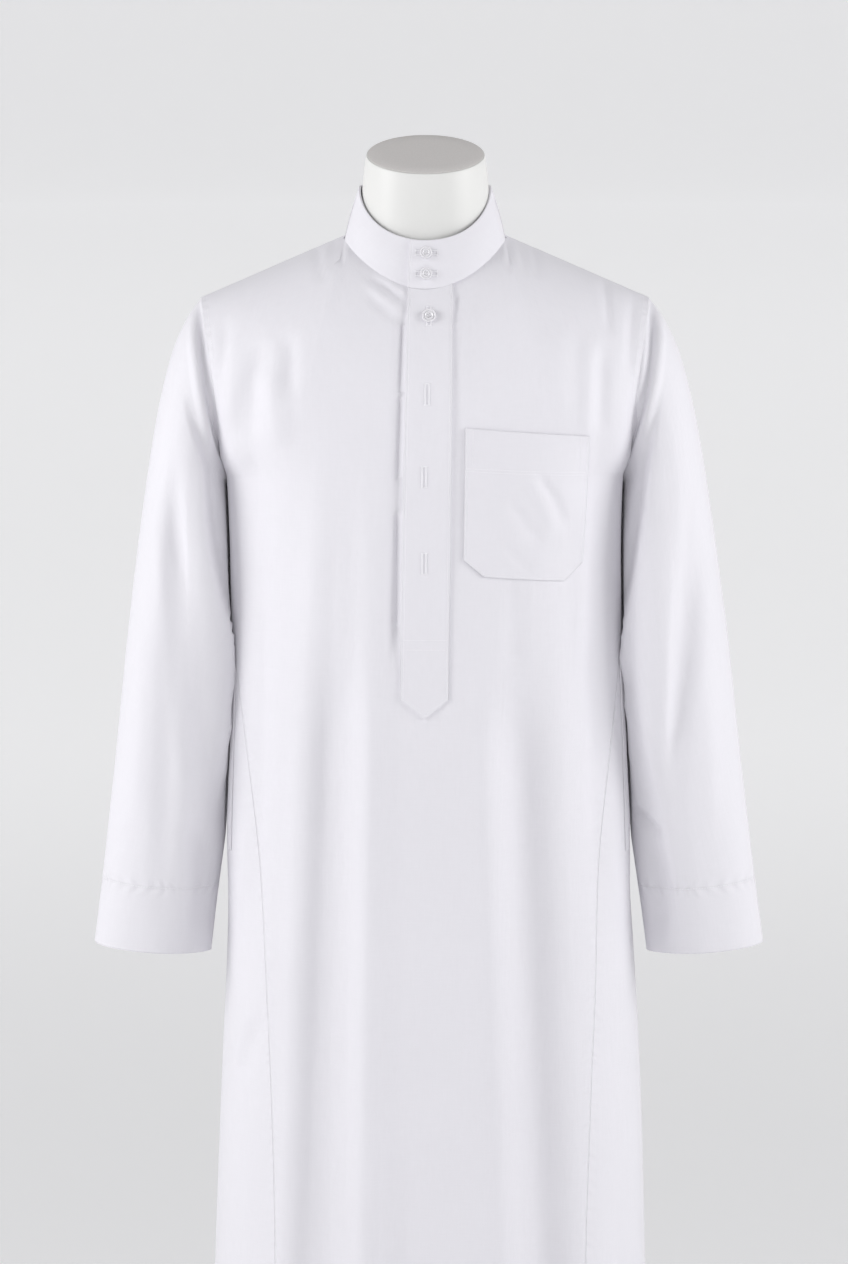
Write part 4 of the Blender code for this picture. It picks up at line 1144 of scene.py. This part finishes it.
thread = Finish("sewing_thread", (0.92, 0.91, 0.945), 0.45, Sheen_Weight=0.3)
thread.relief(thread.axis(thread.place(), "Z").wave(0.0007) * 0.00002)
topstitch = Sewing(0.0020, 0.00022)
placket_tree, pocket_tree = sheet_tree(placket), sheet_tree(pocket)
PLACKET_INSET, PLACKET_SEWN_FROM = 0.0026, 1.4845
for side in (-1, 1):
    edge = [(placket_x(side, z) - side * PLACKET_INSET, z)
            for z in np.linspace(PLACKET_SEWN_FROM, PLACKET_FOOT_HEIGHT, 9)]
    tip_x = sum(placket_x(s, PLACKET_POINT_HEIGHT) for s in (-1, 1)) / 2
    topstitch.row(laid_line(edge + [(tip_x, PLACKET_POINT_HEIGHT + PLACKET_INSET * 1.25)], placket_tree))
for z in (1.1612, 1.1520):
    topstitch.row(laid_line([(placket_x(-1, z) + 0.0015, z), (placket_x(1, z) - 0.0015, z)], placket_tree))

POCKET_INSET, MOUTH_INSET = 0.0014, 0.0012


def pocket_edge(side):
    """Places just inside one edge of the pocket, from its foot up to its mouth."""
    edge = [(row.left_x, row.left_z) if side < 0 else (row.right_x, row.right_z) for row in POCKET_ROWS]
    lifts = [POCKET_INSET] + [0.0] * (len(edge) - 2) + [-MOUTH_INSET]
    return [(x - side * POCKET_INSET, z + lift) for (x, z), lift in zip(edge, lifts)]


topstitch.row(laid_line(pocket_edge(-1)[::-1] + pocket_edge(1), pocket_tree))
for drop in (0.0, 0.0028):
    topstitch.row(laid_line([(0.0385, 1.3226 - drop), (0.1520, 1.3152 - drop)], pocket_tree))
for x, top, foot in ((0.0448, 1.3580, 1.3235), (0.1465, 1.3500, 1.3165)):
    topstitch.row(laid_line([(x, top), (x - 0.0004, foot)], pocket_tree))

for sheet, facing in ((front, 1), (back, -1)):
    for edge in ("first", "last"):
        for inset in SEAM_LINES:
            topstitch.row(inset_line(sheet[SKIRT_ROWS:], outward(sheet, facing)[SKIRT_ROWS:], edge, inset))
for sheet, facing in ((front, 1), (back, -1), (gores[-1], -1), (gores[1], 1)):
    topstitch.row(inset_line(sheet[:HEM_ROWS], outward(sheet, facing)[:HEM_ROWS], "foot", HEM_DEPTH))
for side in (-1, 1):
    tail, outs = sleeves[side][-CUFF_ROWS:], outward(sleeves[side], side, ring=True)[-CUFF_ROWS:]
    topstitch.row(inset_line(tail, outs, "head", CUFF_DEPTH, ring=True))

# ---- side pockets: a lip beside each slit in the gores ----
SLITS = {       # height and distance from the middle, where the slit shows from ahead
    -1: ((0.945, 0.1862), (1.045, 0.1832), (1.145, 0.1800)),
    1: ((0.945, 0.1925), (1.045, 0.1894), (1.145, 0.1852)),
}
LIP_WIDTH, LIP_LIFT, LIP_SINK = 0.0095, 0.0012, 0.0003
LIP_CELLS = 6
SLIT_COLUMNS = 12           # columns of a gore, from its front seam, that the slit lies in
LIP_LINE, LIP_TACK = 0.0058, 0.0012    # the lip's stitches from the slit, and its tacks from its ends


def pocket_lip(side):
    """The lip's grid: rows up the slit, columns from the slit toward the back."""
    heights, offs = zip(*SLITS[side])
    rows = [k for k, row in enumerate(gores[side]) if heights[0] < row[0, 2] < heights[-1]]
    sheet, outs = gores[side][rows], outward(gores[side], side)[rows]
    slit = []
    for row, lengths in zip(sheet[:, :SLIT_COLUMNS], run_lengths(sheet, 1)[:, :SLIT_COLUMNS]):
        off = np.interp(row[0, 2], heights, offs)
        slit.append(np.interp(off, np.maximum.accumulate(np.abs(row[:, 0])), lengths))
    columns = []
    for share in np.arange(LIP_CELLS + 1) / LIP_CELLS:
        points, out = inset_line(sheet, outs, "first", np.array(slit) + LIP_WIDTH * share)
        columns.append(points + out * (LIP_LIFT - LIP_SINK * ease(share)))
    return np.array(columns).swapaxes(0, 1)


for side, word in SIDES:
    lip = pocket_lip(side)
    cloth_piece("pocket_lip_" + word, lip, CLOTH_WALL, stiff_cloth, side)
    points, out = inset_line(lip, outward(lip, side), "first", LIP_LINE)
    topstitch.row((points[2:-2], out[2:-2]))
    for end in ("foot", "head"):
        points, out = inset_line(lip, outward(lip, side), end, LIP_TACK)
        for start in range(LIP_CELLS):
            topstitch.stitch(points[start], points[-1] - points[0], out[start], 0.9)
pieces["topstitch"] = topstitch.piece("thobe_topstitch")

# ---- buttonholes, worked in close stitches across two bars ----
closework = Sewing(0.0017, 0.00028)
WORK_STEP = 0.00042         # from one close stitch to the next
BAR_OFF, TACK_HALF = 0.00185, 0.0027    # each bar from the slit, half of an end tack
BAR_LIFT, TACK_LIFT = 0.00030, 0.00025
WORK_SLANT = 0.12           # how much a worked stitch may lean


def buttonhole(centre, length, along, tree):
    """Two bars of close stitches with a tack at each end, at (x, height) in the front view."""
    turn = Vector((along[0], 0.0, along[1]))

    def at(run, off):
        return on_front(centre[0] + along[0] * run - along[1] * off,
                        centre[1] + along[1] * run + along[0] * off, tree)

    for bar in (-BAR_OFF, BAR_OFF):
        for step in np.arange(-length / 2, length / 2, WORK_STEP):
            place, out = at(step, bar)
            across = out.cross(turn).normalized()
            slant = random.uniform(-WORK_SLANT, WORK_SLANT)
            closework.stitch(place + out * BAR_LIFT, across + turn * slant, out)
    for end in (-length / 2, length / 2):
        for step in np.arange(-TACK_HALF, TACK_HALF + 0.0001, WORK_STEP):
            place, out = at(end, step)
            closework.stitch(place + out * TACK_LIFT, turn, out, 0.8)


COLLAR_AHEAD, OVER_COLUMNS = -0.03, 60     # the part of the collar that carries its buttons
PLACKET_BUTTON, COLLAR_BUTTONS = (0.0037, 1.4629), ((0.0009, 1.5209), (0.0009, 1.5016))
for centre in ((0.0019, 1.3915), (-0.0009, 1.3147), (-0.0009, 1.2334)):
    buttonhole(centre, 0.0195, (0.0, 1.0), placket_tree)
buttonhole(PLACKET_BUTTON, 0.0168, (0.0, 1.0), placket_tree)
collar_tree = sheet_tree(collar[:, collar[0, :, 1] < COLLAR_AHEAD][:, -OVER_COLUMNS:])
for x, z in COLLAR_BUTTONS:
    buttonhole((x + 0.0004, z), 0.0205, (1.0, 0.0), collar_tree)
pieces["buttonholes"] = closework.piece("thobe_buttonholes")

REPLACED = {"front": "front_panel", "back": "back_panel",
            "gore_right": "side_gore_right", "sleeve_right": "sleeve_right",
            "gore_left": "side_gore_left", "sleeve_left": "sleeve_left",
            "collar": "collar_band", "placket": "placket", "pocket": "chest_pocket"}
for key, node in REPLACED.items():
    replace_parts(pieces[key], node)

# ---- a record of a sheet as it was cut, before it was sewn and hung: width, length, area, held and rests_on; none is made here ----
Cut = namedtuple("Cut", "width length area held rests_on")


# ---- turned and moulded pieces, worked by hand from primitives ----
def turned(name, profile, steps):
    """A profile of (radius, height) points spun round Z into a closed piece."""
    bpy.ops.mesh.primitive_plane_add(size=0.01)
    piece = bpy.context.object
    piece.name = piece.data.name = name
    bpy.ops.object.mode_set(mode="EDIT")
    bpy.ops.mesh.delete(type="VERT")
    shape = bmesh.from_edit_mesh(piece.data)
    corners = [shape.verts.new((radius, 0.0, height)) for radius, height in profile]
    for low, high in zip(corners, corners[1:]):
        shape.edges.new((low, high))
    bmesh.update_edit_mesh(piece.data)
    bpy.ops.mesh.select_all(action="SELECT")
    bpy.ops.mesh.spin(steps=steps, angle=2 * math.pi, center=(0, 0, 0), axis=(0, 0, 1))
    bpy.ops.mesh.select_all(action="SELECT")
    bpy.ops.mesh.remove_doubles(threshold=0.00001)
    bpy.ops.mesh.normals_make_consistent(inside=False)
    bpy.ops.object.mode_set(mode="OBJECT")
    bpy.ops.object.shade_smooth_by_angle(angle=TURNED_EDGE)
    return piece


def settle(piece, place, finish):
    """Take a modelled piece to its place, with that place in its mesh."""
    piece.data.transform(place)
    piece.data.materials.clear()
    piece.data.materials.append(finish.material)
    return on_body(piece)


# ---- finishes of the hard pieces ----
lacquer = Finish("form_lacquer", (0.75, 0.75, 0.732), 0.45, Coat_Weight=0.08, Coat_Roughness=0.3,
                 Specular_IOR_Level=0.4)
spot = lacquer.place()
cloudy = lacquer.noise(spot, 14.0, 3.0)
lacquer.feed("Base Color", lacquer.mix(cloudy, (0.74, 0.74, 0.718), (0.77, 0.77, 0.757)))
lacquer.feed("Roughness", lacquer.noise(spot, 60.0, 3.0) * 0.10 + 0.38)
lacquer.relief(lacquer.noise(spot, 180.0, 3.0) * 0.00006 + cloudy * 0.0004)

grey = Finish("cap_grey", (0.66, 0.64, 0.625), 0.78, Specular_IOR_Level=0.3)
spot = grey.place()
grain = grey.noise(spot, 700.0, 4.0, 0.6)
grey.feed("Base Color", grey.mix(grey.fade(grain, 0.3, 0.7), (0.645, 0.622, 0.606), (0.685, 0.663, 0.648)))
grey.feed("Roughness", grain * 0.14 + 0.70)
grey.relief(grain * 0.00006 + grey.noise(spot, 40.0, 2.0) * 0.0002)

metal = Finish("stand_steel", (0.62, 0.62, 0.63), 0.32, Metallic=1.0)
spot = metal.place((1.0, 1.0, 0.02))
brushed = metal.noise(spot, 900.0, 3.0)
metal.feed("Base Color", metal.mix(brushed, (0.56, 0.56, 0.57), (0.66, 0.66, 0.67)))
metal.feed("Roughness", brushed * 0.16 + 0.26)
metal.relief(brushed * 0.00003)

pearl = Finish("button_pearl", (0.80, 0.79, 0.82), 0.2, Coat_Weight=0.5, Coat_Roughness=0.08,
               Sheen_Weight=0.1)
spot = pearl.place((1.0, 1.0, 1.6))
cloudy = pearl.noise(spot, 190.0, 3.0, 0.6)
layers = pearl.axis(spot, "X") * 1.6 + pearl.axis(spot, "Z") + cloudy * 0.006
shimmer = pearl.fade(layers.wave(0.0034), -1.0, 1.0)
pearl.feed("Base Color", pearl.mix(shimmer * 0.6, (0.80, 0.785, 0.81), (0.74, 0.74, 0.775)))
pearl.feed("Roughness", cloudy * 0.12 + 0.15)
pearl.relief(cloudy * 0.00008)

# ---- neck and cap of the form ----
NeckRing = namedtuple("NeckRing", "y z half_width half_depth tilt back")
NECK_RINGS = [NeckRing(*row) for row in (     # tilt in degrees, back is how much deeper the half behind is
    (-0.0125, 1.5000, 0.0610, 0.0572, 22.0, 0.0120),
    (-0.0140, 1.5300, 0.0610, 0.0572, 21.0, 0.0092),
    (-0.0160, 1.5600, 0.0608, 0.0572, 19.0, 0.0052),
    (-0.0176, 1.5780, 0.0602, 0.0570, 18.0, 0.0039),
    (-0.0186, 1.5900, 0.0592, 0.0566, 17.5, 0.0030),
    (-0.0194, 1.6010, 0.0579, 0.0563, 17.5, 0.0020),
    (-0.0199, 1.6080, 0.0569, 0.0561, 17.5, 0.0013),
    (-0.0200, 1.6102, 0.0564, 0.0559, 17.5, 0.0010),
    (-0.0200, 1.6107, 0.0560, 0.0556, 17.5, 0.0008),
)]
NECK_MIDDLE = 0.0005        # x of the neck's middle


def form_neck():
    """The neck as a stack of rings drawn up from a circle, closed at both ends."""
    bpy.ops.mesh.primitive_circle_add(vertices=96, radius=1.0, fill_type="NGON")
    neck = bpy.context.object
    neck.name = neck.data.name = "form_neck"
    bpy.ops.object.mode_set(mode="EDIT")
    shape = bmesh.from_edit_mesh(neck.data)
    ring = list(shape.verts)
    place_ring(ring, NECK_RINGS[0])
    for level in NECK_RINGS[1:]:
        bpy.ops.mesh.extrude_region_move()
        shape = bmesh.from_edit_mesh(neck.data)
        ring = [corner for corner in shape.verts if corner.select]
        place_ring(ring, level)
        bmesh.update_edit_mesh(neck.data)
    bpy.ops.mesh.select_all(action="SELECT")
    bpy.ops.mesh.normals_make_consistent(inside=False)
    bpy.ops.object.mode_set(mode="OBJECT")
    bpy.ops.object.shade_smooth_by_angle(angle=NECK_EDGE)
    return settle(neck, Matrix(), lacquer)


def place_ring(ring, level):
    """Set a ring of corners to its place, each at the angle it has round the ring's own middle."""
    tilt = math.radians(level.tilt)
    middle = sum((corner.co for corner in ring), Vector()) / len(ring)
    for corner in ring:
        angle = math.atan2(corner.co.x - middle.x, middle.y - corner.co.y)
        across, ahead = math.sin(angle), math.cos(angle)
        depth = (level.half_depth + (level.back if ahead < 0 else 0.0)) * ahead
        corner.co = (NECK_MIDDLE + level.half_width * across, level.y - depth * math.cos(tilt),
                     level.z - depth * math.sin(tilt))


form_neck()

cap = turned("form_cap", ((0.0, -0.0002), (0.0546, -0.0002), (0.0551, 0.0), (0.0551, 0.0005),
                          (0.0546, 0.0008), (0.0400, 0.0009), (0.0180, 0.0010), (0.0, 0.0010)), 96)
settle(cap, Matrix.Translation((NECK_MIDDLE, -0.020, 1.6110))
       @ Matrix.Rotation(math.radians(NECK_RINGS[-1].tilt), 4, "X"), grey)
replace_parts(cap, "neck_cap")

# ---- buttons ----
RIM, THICK = 0.0064, 0.0027
BUTTON_PROFILE = [(RIM * out, THICK * up) for out, up in (
    (0.0, 0.0), (0.80, 0.0), (0.93, 0.12), (1.0, 0.42), (0.985, 0.74), (0.93, 0.96), (0.86, 1.0),
    (0.79, 0.93), (0.74, 0.70), (0.68, 0.62), (0.62, 0.68), (0.57, 0.84), (0.51, 0.88), (0.45, 0.80),
    (0.40, 0.62), (0.33, 0.54), (0.0, 0.50))]
HOLE_OFF, HOLE_RADIUS = 0.00105, 0.00062    # each hole from the button's middle, along both ways
SEAT_LIFT = 0.0007          # from the cloth to the button's back
THREAD_OFF = 0.00022        # between two threads through the same hole, or up the shank
THREAD_LEVEL = 0.60         # share of the button's thickness that its threads lie at


def button_blank():
    """A turned button with a rim, an inner ring and four holes."""
    blank = turned("button_blank", BUTTON_PROFILE, 48)
    for across, up in ((-1, -1), (-1, 1), (1, -1), (1, 1)):
        bpy.ops.mesh.primitive_cylinder_add(vertices=14, radius=HOLE_RADIUS, depth=0.008,
                                            location=(across * HOLE_OFF, up * HOLE_OFF, 0.0))
        drill = bpy.context.object
        use_modifier(blank, "BOOLEAN", operation="DIFFERENCE", object=drill, solver="EXACT")
        bpy.data.objects.remove(drill, do_unlink=True)
    return blank


button_threads = Sewing(0.0030, 0.00028)
blank = button_blank()
Button = namedtuple("Button", "node place tree turn lean size")
BUTTONS = (
    Button("button_collar_top", COLLAR_BUTTONS[0], collar_tree, 8.0, 0.0, 0.94),
    Button("button_collar_low", COLLAR_BUTTONS[1], collar_tree, -14.0, 0.0, 0.94),
    Button("button_placket", PLACKET_BUTTON, placket_tree, 21.0, 6.0, 1.06),
)
for item in BUTTONS:
    seat, out = on_front(*item.place, item.tree)
    button = linked("thobe_" + item.node, blank.data.copy())
    place = (Matrix.Translation(seat + out * SEAT_LIFT) @ out.to_track_quat("Z", "Y").to_matrix().to_4x4()
             @ Matrix.Rotation(math.radians(item.lean), 4, "X")
             @ Matrix.Rotation(math.radians(item.turn), 4, "Z") @ Matrix.Scale(item.size, 4))
    settle(button, place, pearl)
    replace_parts(button, item.node)
    turn = place.to_3x3()
    for across in (-HOLE_OFF, HOLE_OFF):
        for shift in (-THREAD_OFF, THREAD_OFF):
            middle = place @ Vector((across + shift, 0.0, THICK * THREAD_LEVEL))
            button_threads.stitch(middle, turn @ Vector((0.0, 1.0, 0.0)), out)
    for k in range(5):
        middle = seat + out * (0.00012 + THREAD_OFF * k)
        button_threads.stitch(middle, turn @ Vector((math.cos(k), math.sin(k), 0.0)), out, 0.9)
bpy.data.objects.remove(blank, do_unlink=True)
button_threads.piece("thobe_button_threads")

# ---- stand ----
POLE_PROFILE = ((0.0, 0.0503), (0.0160, 0.0503), (0.0160, 0.4380), (0.0166, 0.4390), (0.0166, 0.4600),
                (0.0160, 0.4610), (0.0132, 0.4612), (0.0130, 0.4630), (0.0130, 0.7680), (0.0150, 0.7700),
                (0.0160, 0.7720), (0.0160, 0.7985), (0.0152, 0.7997), (0.0, 0.7997))
BASE_PROFILE = ((0.0, 0.0), (0.1880, 0.0), (0.1895, 0.0006), (0.1900, 0.0020), (0.1900, 0.0088),
                (0.1894, 0.0106), (0.1878, 0.0118), (0.1700, 0.0126), (0.1100, 0.0150), (0.0480, 0.0180),
                (0.0400, 0.0200), (0.0350, 0.0255), (0.0335, 0.0290), (0.0285, 0.0440), (0.0272, 0.0480),
                (0.0255, 0.0496), (0.0235, 0.0500), (0.0, 0.0500))
for name, profile, steps, node in (("stand_tube", POLE_PROFILE, 48, "stand_pole"),
                                   ("stand_foot", BASE_PROFILE, 96, "stand_base")):
    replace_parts(settle(turned(name, profile, steps), Matrix(), metal), node)
bpy.data.objects["dress_form"].material_slots[0].material = lacquer.material

# ---- studio ----
# The paper's base colour is its own; its emission is painted light, so the paper glows though it is no
# lamp.
paper = Finish("studio_paper_painted_light", (0.74, 0.74, 0.745), 0.9, Emission_Strength=1.0)
ground = paper.place()
east, north = paper.axis(ground, "X"), paper.axis(ground, "Y")
away = east.maths("SQRT", east * east + north * north)
paper.feed("Base Color", paper.mix(paper.noise(ground, 3.0), (0.735, 0.735, 0.74), (0.745, 0.745, 0.75)))
# Painted light on the paper: dimmer near the stand, brightest from 6.5 m out, then lower again from 14 m
# to 44 m.
painted_light_near = paper.mix(paper.fade(away, 0.4, 6.5), (0.208, 0.208, 0.210), (0.445, 0.445, 0.448))
paper.feed("Emission Color", paper.mix(paper.fade(away, 14.0, 44.0), painted_light_near, (0.350, 0.350, 0.353)))
paper.material.cycles.emission_sampling = "NONE"


FLOOR_REACH, BEND, WALL_TOP = 40.0, 8.0, 30.0


def studio_sweep():
    """A round floor that curves up into a wall all the way round, as one sheet."""
    bpy.ops.mesh.primitive_circle_add(vertices=96, radius=FLOOR_REACH, fill_type="NGON")
    sweep = bpy.context.object
    sweep.name = sweep.data.name = "studio_sweep"
    shape = bmesh.new()
    shape.from_mesh(sweep.data)
    ring = list(shape.verts)
    bends = np.linspace(0, math.pi / 2, 24)[1:]
    profile = [(FLOOR_REACH + BEND * math.sin(a), BEND * (1 - math.cos(a))) for a in bends]
    for reach, height in profile + [(FLOOR_REACH + BEND, WALL_TOP)]:
        raised = []
        for corner in ring:
            out = Vector((corner.co.x, corner.co.y)).normalized() * reach
            raised.append(shape.verts.new((out.x, out.y, height)))
        for k in range(len(ring)):
            after = (k + 1) % len(ring)
            shape.faces.new((ring[k], ring[after], raised[after], raised[k]))
        ring = raised
    bmesh.ops.translate(shape, verts=shape.verts, vec=(0.0, 0.0, -0.0005))
    bmesh.ops.recalc_face_normals(shape, faces=shape.faces)
    shape.to_mesh(sweep.data)
    shape.free()
    sweep.data.shade_smooth()
    sweep.data.materials.append(paper.material)


studio_sweep()


def aimed(name, data, place, aim):
    """A light or a camera at a place, turned to what it looks at."""
    made = linked(name, data)
    made.location = place
    made.rotation_euler = (aim - place).to_track_quat("-Z", "Y").to_euler()
    return made


def soft_light(name, place, aim, size, power):
    data = bpy.data.lights.new(name, "AREA")
    data.shape, data.size, data.size_y = "RECTANGLE", *size
    data.energy = power
    aimed(name, data, Vector(place), Vector(aim))


soft_light("side_left", (-2.7, -1.05, 2.15), (0, 0, 1.50), (1.3, 1.9), 45)
soft_light("side_right", (2.7, -0.95, 2.15), (0, 0, 1.50), (1.3, 1.9), 39)
soft_light("front_fill", (0.0, -5.5, 2.8), (0, 0, 1.5), (3.0, 2.0), 12)

world = bpy.data.worlds.new("studio_air")
bpy.context.scene.world = world
world.use_nodes = True
sky = world.node_tree.nodes["Background"].inputs
sky["Color"].default_value = (0.9, 0.9, 0.92, 1.0)
sky["Strength"].default_value = 0.34

CAMERA_PLACE = Vector((-0.001, -4.0, 1.720))
CAMERA_AIM = Vector((-0.001, 0.0, 1.150))
camera_data = bpy.data.cameras.new("camera")
camera_data.sensor_fit = "VERTICAL"
camera_data.sensor_height = 36.0
camera_data.lens = 118.63
bpy.context.scene.camera = aimed("camera", camera_data, CAMERA_PLACE, CAMERA_AIM)
bpy.context.scene.view_settings.view_transform = "Standard"
